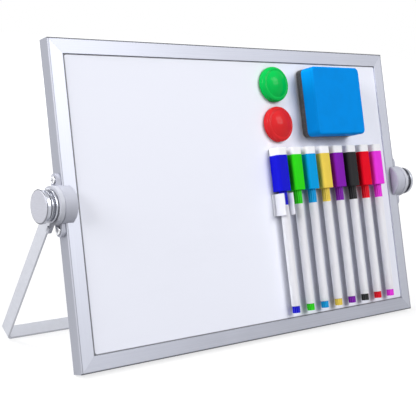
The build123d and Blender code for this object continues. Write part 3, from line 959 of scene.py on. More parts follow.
@dataclass(frozen=True)
class Chrome(Finish):
    """Bright plating with turned rings and finger marks, darkened where shade and dark reflections are painted.

    Attributes:
        axis: Coordinate along the turning axis, 0 to 2.
        rings: Rings to a metre along that axis.
        rough: Roughness at its smoothest.
    """

    axis: int = 0
    rings: float = 2600.0
    rough: float = 0.10

    def shade(self, graph: Graph) -> None:
        """Ring lines are a noise that changes fast along the axis only; prints are soft clouds.

        Args:
            graph: The finish's graph.
        """
        spot = graph.local(self.place)
        scale = [60.0, 60.0, 60.0]
        scale[self.axis] = self.rings
        lines = graph.noise(graph.stretch(spot, tuple(scale)), 1.0, 3.0)
        prints = graph.noise(spot, 260.0, 4.0, 0.6).ramp(0.45, 0.75)
        dull = shade_of(self.colour, 0.86)
        unshaded = graph.blend(prints * 0.6 + lines * 0.3, self.colour, dull)
        graph.surface(
            # Painted shade and dark reflection darken the colour.
            Base_Color=graph.blend(self.painted_shade(graph, spot), unshaded, shade_of(self.colour, 0.1)),
            Metallic=1.0,
            Roughness=self.rough + prints * 0.12 + lines * 0.08,
            Normal=graph.bump(lines, 5e-6, 0.5),
        )

    def painted_shade(self, graph: Graph, spot: Wire) -> Wire:
        """Returns how much painted shade and dark reflection lies at a place, 0 to 1."""
        raise NotImplementedError


@dataclass(frozen=True)
class KnobChrome(Chrome):
    """Chrome of a knob, with painted shade and dark reflection in its neck's grooves and along its rim's edges.

    Attributes:
        neck: Half width and soft width of the dark neck, in metres.
        bead: The same for the bead in its middle, which is spared the painted shade.
        edges: Distance from the rim's middle, where the dark begins and where it is full.
        rim_soft: Soft width where the rim begins.
        neck_share: Painted shade in the neck.
        bead_share: Painted shade that the bead is spared.
        edge_share: Painted dark reflection along the rim's edges.
    """

    neck: tuple[float, float] = (0.0016, 0.0002)
    bead: tuple[float, float] = (0.0003, 0.0001)
    edges: tuple[float, float] = (0.0008, 0.0011)
    rim_soft: float = 0.0001
    neck_share: float = 0.32
    bead_share: float = 0.28
    edge_share: float = 0.6

    def painted_shade(self, graph: Graph, spot: Wire) -> Wire:
        """Painted shade and reflection follow the distance out from the knob's seat.

        Args:
            graph: The finish's graph.
            spot: The place in the local frame.

        Returns:
            How much painted shade and reflection lies there, 0 to 1.
        """
        neck_middle = (KNOB_BASE + KNOB_NECK / 2) * MM
        rim_start = (KNOB_BASE + KNOB_NECK) * MM
        rim_middle = rim_start + KNOB_RIM / 2 * MM
        out = abs(graph.parts(spot)[0]) - KNOB_SEAT_X * MM
        neck = out.band(neck_middle, *self.neck) * self.neck_share
        bead = out.band(neck_middle, *self.bead) * self.bead_share
        edges = abs(out - rim_middle).ramp(*self.edges) * self.edge_share
        on_rim = out.ramp(rim_start - self.rim_soft, rim_start)
        return (neck - bead).at_least(edges * on_rim)


@dataclass(frozen=True)
class ScrewChrome(Chrome):
    """Chrome of the ear screws, with painted shade round the head and in its cross.

    A pair of sizes says where the dark begins to change and where it has changed, in metres.

    Attributes:
        head: Radius at which the head's dark border begins.
        slot_half: Half width of the cross's slots.
        slot_reach: Radius at which the slots end.
        share: Painted shade in all of them.
    """

    head: tuple[float, float] = (0.0021, 0.0023)
    slot_half: tuple[float, float] = (0.0003, 0.0004)
    slot_reach: tuple[float, float] = (0.0013, 0.0016)
    share: float = 0.6

    def painted_shade(self, graph: Graph, spot: Wire) -> Wire:
        """Painted shade follows the distance from the nearer screw's axis.

        Args:
            graph: The finish's graph.
            spot: The place in the local frame.

        Returns:
            How much painted shade lies there, 0 to 1.
        """
        _, y, z = graph.parts(spot)
        up = abs(z) - EAR_SCREW_OFFSET * MM
        radius = (y * y + up * up).root()
        cross = abs(y).fall(*self.slot_half).at_least(abs(up).fall(*self.slot_half))
        return radius.ramp(*self.head).at_least(cross * radius.fall(*self.slot_reach)) * self.share


@dataclass(frozen=True)
class Felt(Finish):
    """Pressed felt: fibres in every direction, flecked, with no shine.

    Attributes:
        fibre: Fibres to a metre.
        depth: Depth of the nap, in metres.
        fleck: Colour of the lighter fibres.
    """

    fibre: float = 1500.0
    depth: float = 1.6e-4
    fleck: tuple[float, ...] = (0.10, 0.10, 0.11, 1.0)

    def shade(self, graph: Graph) -> None:
        """Two stretched noises crossed make the fibres; a slower one gathers them in clumps.

        Args:
            graph: The finish's graph.
        """
        spot = graph.local(self.place)
        lengthwise = graph.noise(graph.stretch(spot, (0.35, 1.0, 1.0)), self.fibre, 4.0, 0.7)
        crosswise = graph.noise(graph.stretch(spot, (1.0, 1.0, 0.35)), self.fibre, 4.0, 0.7)
        clumps = graph.noise(spot, self.fibre / 7, 3.0)
        nap = lengthwise.at_least(crosswise)
        light = nap.ramp(0.5, 0.75) * 0.55 + clumps.ramp(0.4, 0.7) * 0.2
        graph.surface(
            Base_Color=graph.blend(light, self.colour, self.fleck),
            Roughness=0.88 + nap * 0.1,
            Normal=graph.bump(nap * 0.6 + clumps * 0.4, self.depth, 0.9),
            Sheen_Weight=0.25,
            Sheen_Roughness=0.6,
        )


@dataclass(frozen=True)
class Foam(Finish):
    """Skinned foam: satin, finely pitted, a little rubbed; painted shade and light on its left face.

    Attributes:
        painted_light_colour: Colour of the painted light on the left face's upper part.
        side: Place across the board, in metres, to whose left lies the eraser's left face.
        painted_light_low: Height up the board where the painted light starts, in metres.
        painted_light_high: Height up the board where it is full, in metres.
    """

    painted_light_colour: tuple[float, ...] = (0.0, 0.32, 0.88, 1.0)
    side: float = 0.0556
    painted_light_low: float = 0.062
    painted_light_high: float = 0.084

    def shade(self, graph: Graph) -> None:
        """Closed cells show as shallow pits; rubbed clouds change the sheen.

        Args:
            graph: The finish's graph.
        """
        spot = graph.local(self.place)
        x, _, z = graph.parts(spot)
        pits = graph.cells(spot, 1500.0).ramp(0.1, 0.5)
        rubs = graph.noise(spot, 90.0, 4.0, 0.6)
        tone = rubs.ramp(0.3, 0.7)
        skin = graph.blend(tone, shade_of(self.colour, 0.96), shade_of(self.colour, 1.02))
        # Painted shade darkens the left face, and painted light brightens its upper part.
        left_face = x.fall(self.side - 0.0008, self.side + 0.0004)
        side = graph.blend(left_face, skin, shade_of(self.colour, 0.8))
        painted_light = left_face * z.ramp(self.painted_light_low, self.painted_light_high)
        graph.surface(
            Base_Color=graph.blend(painted_light, side, self.painted_light_colour),
            Roughness=0.5 + rubs * 0.14,
            Normal=graph.bump(pits * 0.7 + rubs * 0.3, 1.5e-5, 0.5),
            Specular_IOR_Level=0.03,
        )


@dataclass(frozen=True)
class Pressed(Finish):
    """Hidden filler of pressed paper board, sintered magnet or rubber strip.

    Attributes:
        grain: Grains to a metre.
    """

    grain: float = 600.0

    def shade(self, graph: Graph) -> None:
        """Coarse grains of two tones.

        Args:
            graph: The finish's graph.
        """
        spot = graph.local(self.place)
        grains = graph.noise(spot, self.grain, 4.0, 0.65)
        graph.surface(
            Base_Color=graph.blend(grains, shade_of(self.colour, 0.7), shade_of(self.colour, 1.2)),
            Roughness=0.72 + grains * 0.2,
            Normal=graph.bump(grains, 5e-5, 0.6),
        )


LINES_ACROSS = (15.0, 2400.0, 2400.0)
LINES_UP = (2400.0, 2400.0, 15.0)
# Both rail finishes stand for one aluminium; the upright rails' lighter colour is painted light.
RAILS_ACROSS = RailMetal("aluminium_across", ON_BOARD, rgb(147, 149, 158), LINES_ACROSS, 0.50, 0.1)
RAILS_UP = RailMetal(
    "aluminium_upright", ON_BOARD, rgb(154, 156, 165), LINES_UP, 0.50, 0.1, lips_painted_bright=True
)
STAND_STEEL = BarMetal(
    "stand_steel", ON_STAND, rgb(206, 208, 216), (300.0, 240.0, 420.0), 0.34, contrast=0.05
)
STUD_STEEL = DrawnMetal("stud_steel", ON_BOARD, rgb(120, 121, 126), (40.0, 900.0, 900.0), 0.34)
BRASS = DrawnMetal("insert_brass", ON_BOARD, rgb(214, 178, 98), (60.0, 900.0, 900.0), 0.28)
KNOB_FACE = DrawnMetal("knob_face", ON_BOARD, rgb(192, 193, 202), (900.0, 240.0, 2200.0), 0.40)
ENAMEL = Enamel("board_enamel", ON_BOARD, rgb(236, 238, 249))
SADDLE_GREY = Moulding("saddle_grey", ON_BOARD, rgb(187, 189, 201), 0.46, 2200.0, 2.5e-5, 0.05)
HUB_GREY = Moulding("hub_grey", ON_STAND, rgb(198, 200, 210), 0.34, 2200.0, 1.2e-5, 0.05)
KNOB_CHROME = KnobChrome("knob_chrome", ON_BOARD, rgb(180, 182, 191), rough=0.24)
SCREW_CHROME = ScrewChrome("screw_chrome", ON_BOARD, rgb(246, 247, 251), 0, 900.0, 0.2)
FERRITE = Pressed("ferrite", ON_BOARD, rgb(70, 70, 72), 900.0)
PAPER_CORE = Pressed("paper_core", ON_BOARD, rgb(186, 160, 122), 500.0)
MAGNET_STRIP = Pressed("magnet_strip", ON_BOARD, rgb(62, 62, 64), 1400.0)
# The barrels' glow is painted light.
BARREL_WHITE = Moulding(
    "barrel_white",
    ON_BOARD,
    rgb(235, 235, 242),
    0.3,
    1500.0,
    4e-6,
    0.02,
    gloss=0.1,
    depth_lit=0.5,
    painted_glow=0.05,
)
CLIP_WHITE = Moulding(
    "clip_white", ON_BOARD, rgb(230, 231, 240), 0.3, 1500.0, 5e-6, 0.03, gloss=0.1, depth_lit=0.3
)
CAP_FELT = Felt("cap_felt_white", ON_BOARD, rgb(242, 242, 246), 1900.0, 1.2e-4, rgb(252, 252, 254))
ERASER_FELT = Felt("eraser_charcoal", ON_BOARD, rgb(38, 38, 41), 1300.0, 2.6e-4, rgb(92, 92, 98))
ERASER_FOAM = Foam("eraser_blue", ON_BOARD, rgb(0, 139, 226))


def magnet_finish(colour: str, tone: tuple[float, ...]) -> Moulding:
    """Returns the lightly glossed finish of a round magnet's grip."""
    return Moulding(
        "magnet_" + colour, ON_BOARD, tone, 0.42, 900.0, 3e-6, 0.06, coat=0.12, gloss=0.02
    )


def marker_finish(colour: str, tone: tuple[float, ...]) -> Moulding:
    """Returns the satin finish of a marker's coloured pieces."""
    return Moulding(
        "marker_" + colour, ON_BOARD, tone, 0.4, 1600.0, 6e-6, 0.08, gloss=0.05, ribbed=True
    )


def finished(
    piece: bpy.types.Object, finish: Finish, body: str, *nodes: str
) -> bpy.types.Object:
    """Dresses a piece, seats it on its body and hides the CAD nodes that it stands for.

    Args:
        piece: The new piece.
        finish: Its finish.
        body: The CAD body that it rides on.
        nodes: CAD nodes that it replaces.

    Returns:
        The piece.
    """
    finish.dress(piece)
    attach(piece, body)
    if nodes:
        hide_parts(*nodes)
    LOG.info("%s: %d faces on %s", piece.name, len(piece.data.polygons), body)
    return piece


def keep_node(node: str, finish: Finish) -> None:
    """Dresses a CAD node that stays as it is."""
    finish.dress(frame["nodes"][node])
    LOG.info("%s: kept, %s", node, finish.name)


# ------------------------------------------------------------------------- the board
@dataclass
class FrameRails:
    """The four mitred rails of the frame, in millimetres.

    Attributes:
        edge: Radius of the outer edges.
        lip_edge: Radius of the lips' edges.
        groove: Distance from the outer edge to the groove's floor.
        mitre: Chamfer at the mitred ends, which shows as a fine line at the corners.
    """

    edge: float = 0.5
    lip_edge: float = 0.15
    groove: float = 5.8
    mitre: float = 0.03

    def section(self) -> np.ndarray:
        """Cuts across a rail.

        Returns:
            Closed outline, as (distance in from the outer edge, depth).
        """
        front = -FRAME_DEPTH / 2
        back = FRAME_DEPTH / 2
        return rounded(
            [
                (0, front, self.edge),
                (RAIL_FACE, front, self.lip_edge),
                (RAIL_FACE, SURFACE_Y, self.lip_edge),
                (self.groove, SURFACE_Y, 0),
                (self.groove, -SURFACE_Y, 0),
                (RAIL_FACE, -SURFACE_Y, self.lip_edge),
                (RAIL_FACE, back, self.lip_edge),
                (0, back, self.edge),
            ]
        )

    def rings(self, length: float) -> np.ndarray:
        """Rings of a rail along its length.

        Each point of the section ends where the mitre's plane meets it, at half the length
        less its own distance in.  The end rings are drawn inward by the chamfer.

        Args:
            length: The rail's outer length.

        Returns:
            Array of rings, each an array of (inward, depth, along).
        """
        section = self.section()
        inset = np.array([self.mitre, 0.0, 0.0, self.mitre])
        reach = np.array([-1.0, -1.0, 1.0, 1.0])
        back_off = np.array([0.0, self.mitre, -self.mitre, 0.0])
        drawn = section[None] - inset[:, None, None] * outline_normals(section)[None]
        along = reach[:, None] * (length / 2 - drawn[..., 0]) + back_off[:, None]
        return np.concatenate([drawn, along[..., None]], axis=-1)

    def build(self) -> None:
        """Makes the rails and lays each along its side of the board."""
        across = self.rings(BOARD_WIDTH)
        upright = self.rings(BOARD_HEIGHT)
        half_x, half_z = BOARD_WIDTH / 2, BOARD_HEIGHT / 2
        inward, depth, along = np.moveaxis(across, -1, 0)
        laid = {
            "top_rail": (np.stack([along, depth, half_z - inward], axis=-1), RAILS_ACROSS),
            "bottom_rail": (np.stack([along, depth, inward - half_z], axis=-1), RAILS_ACROSS),
        }
        inward, depth, along = np.moveaxis(upright, -1, 0)
        laid["left_rail"] = (np.stack([inward - half_x, depth, along], axis=-1), RAILS_UP)
        laid["right_rail"] = (np.stack([half_x - inward, depth, along], axis=-1), RAILS_UP)
        for node, (rings, finish) in laid.items():
            piece = Form(ON_BOARD).add(rings).build(node + "_drawn")
            finished(piece, finish, "board", node)


@dataclass
class BoardCore:
    """What stays of the board as the CAD has it: sheets, core, keys, saddles and screws."""

    def build(self) -> None:
        """Dresses the nodes."""
        finishes = {
            "front_sheet": ENAMEL,
            "rear_sheet": ENAMEL,
            "core_board": PAPER_CORE,
            "corner_keys": RAILS_ACROSS,
            "left_saddle": SADDLE_GREY,
            "right_saddle": SADDLE_GREY,
            "saddle_screws": SCREW_CHROME,
            "threaded_inserts": BRASS,
            "leg_hubs": HUB_GREY,
            "eraser_magnet": MAGNET_STRIP,
            "green_magnet_disc": FERRITE,
            "red_magnet_disc": FERRITE,
        }
        for node, finish in finishes.items():
            keep_node(node, finish)


# ------------------------------------------------------------------------- the stand
@dataclass
class StandBar:
    """Flat bar bent into a U, its ends round and its edges eased, in millimetres.

    Attributes:
        bend: Outer radius of the two lower bends.
        edge: Radius of the bar's long edges.
        tip_start: Angle about the round end's centre, from its tip, where the bar begins.
    """

    bend: float = 3.0
    edge: float = 0.28
    tip_start: float = 0.08

    def path(self) -> tuple[np.ndarray, np.ndarray, np.ndarray]:
        """Middle line of the bar in the (x, z) plane.

        Down the right leg, round a quarter circle, along the crossbar, round and up again.
        Near its ends, at a distance s from the tip, the bar's half width is that of a
        semicircle, the root of r squared less (r - s) squared.

        Returns:
            Points, their outward normals, and the half width at each.
        """
        half_thick = BAR_THICKNESS / 2
        half_x = HUB_OUTER_X - half_thick
        foot = half_thick - stand_length()
        radius = self.bend - half_thick
        tip = BAR_WIDTH / 2
        turn = np.linspace(0, math.pi / 2, 9)
        rise = tip * np.cos(np.linspace(self.tip_start, math.pi / 2, 9))
        leg = np.concatenate([rise, np.linspace(0, foot + radius, 12)[1:-1]])
        upright = np.stack([np.full(len(leg), half_x), leg], axis=1)
        centre = np.array([half_x - radius, foot + radius])
        bend = centre + radius * np.stack([np.cos(turn), -np.sin(turn)], axis=1)
        right = np.concatenate([upright, bend])
        facing = np.concatenate([np.zeros(len(leg)), turn])
        normal = np.stack([np.cos(facing), -np.sin(facing)], axis=1)
        over = np.clip(right[:, 1], 0, None)
        half = np.sqrt(np.clip(tip**2 - over**2, 0, None))
        flip = np.array([-1.0, 1.0])
        points = np.concatenate([right, right[::-1] * flip])
        normals = np.concatenate([normal, normal[::-1] * flip])
        return points, normals, np.concatenate([half, half[::-1]])

    def build(self) -> None:
        """Carries the rounded section along the path."""
        points, normals, half = self.path()
        section = box_outline(BAR_THICKNESS / 2, BAR_WIDTH / 2, self.edge, 4)
        narrow = half / (BAR_WIDTH / 2)
        outward = section[None, :, 0, None] * normals[:, None, :]
        across = section[None, :, 1] * narrow[:, None]
        middle = points[:, None, :] + outward
        rings = np.stack([middle[..., 0], across, middle[..., 1]], axis=-1)
        piece = Form(ON_STAND).add(rings).build("stand_bar_bent")
        finished(piece, STAND_STEEL, "stand", "stand_bar")


# ------------------------------------------------------------------------- the knobs
@dataclass
class Knob:
    """One clamp knob with its cap disc, stud and washer, in millimetres.

    Attributes:
        side: 1 for the right knob, -1 for the left one.
        name: The body's name.
        washer_radius: Radius of the washer.
        base_radius: Radius of the grip's foot.
        neck_radius: Radius of the neck.
        bead: How far the neck's bead stands out, and its width.
        rim_radius: Radius of the bright rim.
        face_radius: Radius of the cap disc.
        face_fit: Clearance round the disc.
        face_proud: How far the disc stands out of the rim.
        dish: How deep the disc's front is dished.
        recess: Depth of the disc's seat in the rim.
        stud_radius: Radius of the stud.
        stud_reach: How far the stud goes into the saddle.
        washer_fit: Clearance between the stud and the washer.
        hollow_fit: Clearance between the stud and the grip's hollow.
    """

    side: int
    name: str
    washer_radius: float = 10.0
    base_radius: float = 10.2
    neck_radius: float = 8.3
    bead: float = 0.7
    rim_radius: float = 10.4
    face_radius: float = 9.7
    face_fit: float = 0.05
    face_proud: float = 0.3
    dish: float = 0.1
    recess: float = 1.0
    stud_radius: float = 2.45
    stud_reach: float = 7.2
    washer_fit: float = 0.05
    hollow_fit: float = 0.6

    def grip_profile(self) -> np.ndarray:
        """Cuts the grip along its axis.

        Returns:
            Outline as (radius, distance out), closed through the hollow.
        """
        neck = KNOB_SEAT_X + KNOB_BASE
        rim = neck + KNOB_NECK
        face = rim + KNOB_RIM
        middle = neck + KNOB_NECK / 2
        half = self.bead / 2
        proud = self.neck_radius + self.bead
        hollow = self.stud_radius + self.hollow_fit
        seat = self.face_radius + self.face_fit
        return rounded(
            [
                (hollow, KNOB_SEAT_X, 0),
                (self.base_radius, KNOB_SEAT_X, 0.25),
                (self.base_radius, neck, 0.4),
                (self.neck_radius, neck, 0.25),
                (self.neck_radius, middle - half, 0.12),
                (proud, middle - half, 0.25),
                (proud, middle + half, 0.25),
                (self.neck_radius, middle + half, 0.12),
                (self.neck_radius, rim, 0.3),
                (self.rim_radius, rim, 0.5),
                (self.rim_radius, face, 0.55),
                (seat, face, 0.15),
                (seat, face - self.recess, 0),
                (hollow, face - self.recess, 0),
            ]
        )

    def face_profile(self) -> np.ndarray:
        """Cuts the cap disc along its axis.

        The front dishes inward, as one less the square of the radius's share.

        Returns:
            Outline as (radius, distance out), from the back's edge to the front's middle.
        """
        back = KNOB_SEAT_X + KNOB_BASE + KNOB_NECK + KNOB_RIM - self.recess
        front = back + self.recess + self.face_proud
        rim = rounded([(0, back, 0), (self.face_radius, back, 0.1), (self.face_radius, front, 0.3)])
        radius = np.linspace(self.face_radius - 0.5, POLE_RADIUS, 10)
        dish = front - self.dish * (1 - (radius / self.face_radius) ** 2)
        return np.concatenate([rim[1:], np.stack([radius, dish], axis=1)])

    def washer_profile(self) -> np.ndarray:
        """Outline of the washer, as (radius, distance out)."""
        inner = self.stud_radius + self.washer_fit
        return rounded(
            [
                (inner, WASHER_X, 0.1),
                (self.washer_radius, WASHER_X, 0.2),
                (self.washer_radius, KNOB_SEAT_X, 0.2),
                (inner, KNOB_SEAT_X, 0.1),
            ]
        )

    def stud_profile(self) -> np.ndarray:
        """Cuts the stud along its axis.

        Returns:
            Outline as (radius, distance out), from its tip's edge to its head's.
        """
        tip = SADDLE_FACE_X - self.stud_reach
        head = KNOB_SEAT_X + KNOB_BASE + KNOB_NECK
        return rounded([(0, tip, 0), (self.stud_radius, tip, 0.4), (self.stud_radius, head, 0.1)])[1:]

    def turned(self, profile: np.ndarray, segments: int = 96) -> np.ndarray:
        """Rings of a profile turned about the tilt axis, on the knob's side."""
        return along_x(turned_rings(profile, segments), self.side)

    def build(self) -> None:
        """Makes the grip, the disc, and the washer with its stud."""
        grip = Form(ON_BOARD).add(self.turned(self.grip_profile()), Ends.JOINED)
        finished(grip.build(self.name + "_grip"), KNOB_CHROME, self.name, self.name)
        disc = Form(ON_BOARD).add(self.turned(self.face_profile()), Ends.POLE)
        finished(disc.build(self.name + "_disc"), KNOB_FACE, self.name, self.name + "_cap")
        form = Form(ON_BOARD).add(self.turned(self.washer_profile()), Ends.JOINED)
        form.add(self.turned(self.stud_profile(), 48), Ends.POLE)
        finished(form.build(self.name + "_washer"), STUD_STEEL, self.name, self.name + "_screw")


# ------------------------------------------------------------------------- magnets and eraser
@dataclass
class RoundMagnet:
    """Round magnet's grip: straight skirt, round bead, fine groove and shallow crown.

    Sizes are in millimetres.

    Attributes:
        colour: Its colour in a word, which starts its pieces' names.
        tone: Its plastic's colour, linear.
        z: Height of its middle up the board.
        x: Place of its middle across the board.
        radius: Radius of the skirt.
        height: Height at the middle of the crown.
        shoulder: Height of the bead.
        edge: Radius of the bead.
        groove: Width of the groove between the bead and the crown.
        groove_depth: Depth of the groove.
        pocket_radius: Radius of the hollow for the magnet's disc.
        pocket: Depth of that hollow.
    """

    colour: str
    tone: tuple[float, ...]
    z: float
    x: float = 29.3
    radius: float = 12.5
    height: float = 7.4
    shoulder: float = 4.6
    edge: float = 2.4
    groove: float = 0.7
    groove_depth: float = 0.07
    pocket_radius: float = 9.05
    pocket: float = 3.0

    def profile(self) -> np.ndarray:
        """Cuts the grip along its axis.

        The bead is a quarter round.  The crown is the arc through the groove's far side whose
        middle is the full height: its radius is (r squared + h squared) / 2h.  Between them
        the groove dips as half a sine wave.

        Returns:
            Outline as (radius, height), from the pocket's middle to the crown's.
        """
        bead_edge = self.radius - self.edge
        crown_edge = bead_edge - self.groove
        rise = self.height - self.shoulder
        crown = (crown_edge**2 + rise**2) / (2 * rise)
        angle = np.linspace(0, math.pi / 2, 12)
        quarter = np.stack(
            [bead_edge + self.edge * np.cos(angle), self.shoulder - self.edge * (1 - np.sin(angle))],
            axis=1,
        )
        share = np.linspace(0, 1, 8)[1:-1]
        dip = self.shoulder - self.groove_depth * np.sin(math.pi * share)
        groove = np.stack([bead_edge - self.groove * share, dip], axis=1)
        radius = np.linspace(crown_edge, POLE_RADIUS, 26)
        dome = np.stack([radius, self.height - crown + np.sqrt(crown**2 - radius**2)], axis=1)
        foot = rounded(
            [
                (self.pocket_radius, self.pocket, 0),
                (self.pocket_radius, 0, 0.15),
                (self.radius, 0, 0.3),
                (self.radius, self.shoulder, 0),
            ]
        )[:-1]
        inner = np.array([[POLE_RADIUS, self.pocket]])
        return np.concatenate([inner, foot, quarter, groove, dome])

    def build(self) -> None:
        """Makes the grip and stands it on the board."""
        rings = off_face(turned_rings(self.profile(), 128), self.x, self.z)
        piece = Form(ON_BOARD).add(rings, Ends.POLE).build(self.colour + "_magnet_grip")
        body = self.colour + "_magnet"
        finished(piece, magnet_finish(self.colour, self.tone), body, body + "_cap")


@dataclass
class Eraser:
    """Block eraser: foam grip on a felt pad, in millimetres.

    Attributes:
        width: Its size across the board.
        height: Its size up the board.
        depth: How far it stands off the board.
        felt: Thickness of the pad.
        corner: Radius of the four corners.
        edge: Radius of the grip's front edges.
        x: Place of its middle across the board.
        z: Height of its middle up the board.
    """

    width: float = 49.8
    height: float = 49.4
    depth: float = 16.0
    felt: float = 4.8
    corner: float = 3.5
    edge: float = 1.6
    x: float = 79.2
    z: float = 60.3

    def build(self) -> None:
        """Makes the pad and the grip."""
        outline = box_outline(self.width / 2, self.height / 2, self.corner, 10)
        pad = slab_rings(outline, edge_levels(0.0, self.felt, 0.5, 0.35))
        felt = Form(ON_BOARD).add(off_face(pad, self.x, self.z)).build("eraser_felt_pad")
        finished(felt, ERASER_FELT, "eraser", "eraser_felt")
        block = slab_rings(outline, edge_levels(self.felt, self.depth, 0.35, self.edge, 9))
        foam = Form(ON_BOARD).add(off_face(block, self.x, self.z)).build("eraser_foam_grip")
        finished(foam, ERASER_FOAM, "eraser", "eraser_body")


# ------------------------------------------------------------------------- the markers
class Ink(Enum):
    """The markers' colours, from left to right: a word, and the plastic's colour."""

    BLUE = ("blue", rgb(22, 22, 205))
    GREEN = ("green", rgb(46, 214, 24))
    SKY = ("sky", rgb(0, 155, 222))
    YELLOW = ("yellow", rgb(236, 206, 84))
    PURPLE = ("purple", rgb(129, 28, 172))
    BLACK = ("black", rgb(42, 42, 44))
    RED = ("red", rgb(229, 6, 34))
    MAGENTA = ("magenta", rgb(233, 56, 223))


@dataclass
class Marker:
    """One capped marker, its cap against the board and its pen hanging from the cap.

    Sizes are in millimetres.

    Attributes:
        ink: Its colour.
        place: Its number from the left, from 0.
        first_x: Place of the first marker's axis across the board.
        pitch: Distance from one marker's axis to the next.
        cap_width: The cap's size across the board.
        cap_depth: How far the cap stands off the board.
        cap_length: The cap's length.
        cap_bottom: Height of the cap's mouth up the board.
        front_corner: Radius of the cap's two front corners.
        back_corner: Radius of the two against the board.
        cap_edge: Radius of the cap's end edges.
        felt: Height of the felt on the cap.
        felt_inset: How far the felt's sides lie inside the cap's.
        neck_radius: Radius of the neck.
        neck: Length of the neck below the cap.
        neck_plug: Length of the neck inside the cap.
        neck_edge: Chamfer at the neck's foot.
        flutes: Flutes round the neck and round the end plug.
        flute_depth: Depth of a flute.
        sleeve_radius: Radius of the nib's sleeve.
        sleeve: Length of the sleeve, with the cone that leads to it.
        nib_radius: Radius of the nib.
        nib: How far the nib stands out of its sleeve.
        bore_fit: Clearance between the neck and the cap's bore.
        bore_spare: Length of the bore past the nib.
        bore_roof: Radius of the innermost ring of the bore's flat roof.
        mouth: Chamfer at the mouth of the bore.
        barrel_radius: Radius of the barrel.
        barrel_wall: Thickness of the barrel's wall.
        barrel: Length of the barrel.
        spigot: How far the neck and the plug go into the barrel.
        spigot_fit: Clearance between them and the barrel.
        plug_radius: Radius of the end plug.
        plug: Length of the end plug.
        plug_edge: Chamfer at the end plug's foot.
        chamfer: Chamfer at the ends of the hidden steps.
    """

    ink: Ink
    place: int
    first_x: float = 23.55
    pitch: float = 14.25
    cap_width: float = 10.0
    cap_depth: float = 8.6
    cap_length: float = 25.2
    cap_bottom: float = -2.0
    front_corner: float = 2.0
    back_corner: float = 0.3
    cap_edge: float = 0.25
    felt: float = 5.2
    felt_inset: float = 0.1
    neck_radius: float = 2.9
    neck: float = 9.6
    neck_plug: float = 8.5
    neck_edge: float = 0.15
    flutes: int = 12
    flute_depth: float = 0.3
    sleeve_radius: float = 1.9
    sleeve: float = 3.0
    nib_radius: float = 1.1
    nib: float = 4.0
    bore_fit: float = 0.08
    bore_spare: float = 1.5
    bore_roof: float = 0.4
    mouth: float = 0.3
    barrel_radius: float = 3.0
    barrel_wall: float = 0.6
    barrel: float = 70.4
    spigot: float = 6.0
    spigot_fit: float = 0.05
    plug_radius: float = 2.65
    plug: float = 4.7
    plug_edge: float = 0.2
    chamfer: float = 0.2

    def axis(self) -> tuple[float, float]:
        """Place of the pen's axis across and off the board."""
        return self.first_x + self.place * self.pitch, SEAT_Y - self.cap_depth / 2

    def cap_outline(self, inset: float) -> np.ndarray:
        """Outline of the cap: nearly square behind, rounded in front.

        Args:
            inset: How far inside the cap's sides it runs.

        Returns:
            Points (x, y) about the pen's axis.
        """
        half_x = self.cap_width / 2 - inset
        half_y = self.cap_depth / 2 - inset
        return rounded(
            [
                (half_x, -half_y, self.front_corner),
                (half_x, half_y, self.back_corner),
                (-half_x, half_y, self.back_corner),
                (-half_x, -half_y, self.front_corner),
            ],
            8,
        )

    def cap_rings(self) -> np.ndarray:
        """The cap's surface, from the top of its bore, over its mouth and up its sides.

        The bore's circles take the angles of the square outline's points, so that the rings
        join without a twist.

        Returns:
            The rings about the pen's axis.
        """
        outline = self.cap_outline(0.0)
        angle = np.arctan2(outline[:, 1], outline[:, 0])
        circle = np.stack([np.cos(angle), np.sin(angle)], axis=1)
        bore = self.neck_radius + self.bore_fit
        low = self.cap_bottom
        top = low + self.neck_plug + self.sleeve + self.nib + self.bore_spare
        steps = [
            (self.bore_roof, top),
            (bore - self.chamfer, top),
            (bore, top - self.chamfer),
            (bore, low + self.mouth),
            (bore + self.mouth, low),
        ]
        inner = [np.column_stack([r * circle, np.full(len(circle), z)]) for r, z in steps]
        levels = edge_levels(low, low + self.cap_length, self.cap_edge, self.cap_edge)
        return np.concatenate([np.stack(inner), slab_rings(outline, levels)])

    def felt_rings(self) -> np.ndarray:
        """The felt on top of the cap.

        Returns:
            The rings about the pen's axis.
        """
        low = self.cap_bottom + self.cap_length
        outline = self.cap_outline(self.felt_inset)
        return slab_rings(outline, edge_levels(low, low + self.felt, 0.1, 0.25))

    def fluted(
        self, profile: np.ndarray, low: float, high: float
    ) -> tuple[np.ndarray, np.ndarray]:
        """Turned rings whose wall is fluted between two heights.

        With w the mean of 1 and the cosine of the flutes' count times the angle, the radius
        drops there by the flutes' depth times the root of w, which fades out at both heights.

        Args:
            profile: Points (radius, height), in order.
            low: Height at which the flutes begin.
            high: Height at which they end.

        Returns:
            The rings, and their relief: the fourth power of 1 - w, less the square of w.
        """
        rings = turned_rings(profile, 12 * self.flutes)
        angle = np.arctan2(rings[..., 1], rings[..., 0])
        wave = (1 + np.cos(angle * self.flutes)) / 2
        height = rings[..., 2]
        inside = np.clip(np.minimum(height - low, high - height) / 0.25, 0, 1)
        radius = np.linalg.norm(rings[..., :2], axis=-1)
        inside = inside * (radius > self.plug_radius - 0.1)
        shrink = 1 - self.flute_depth * np.sqrt(wave) * inside / np.maximum(radius, 1)
        rings[..., :2] *= shrink[..., None]
        return rings, ((1 - wave) ** 4 - wave**2) * inside

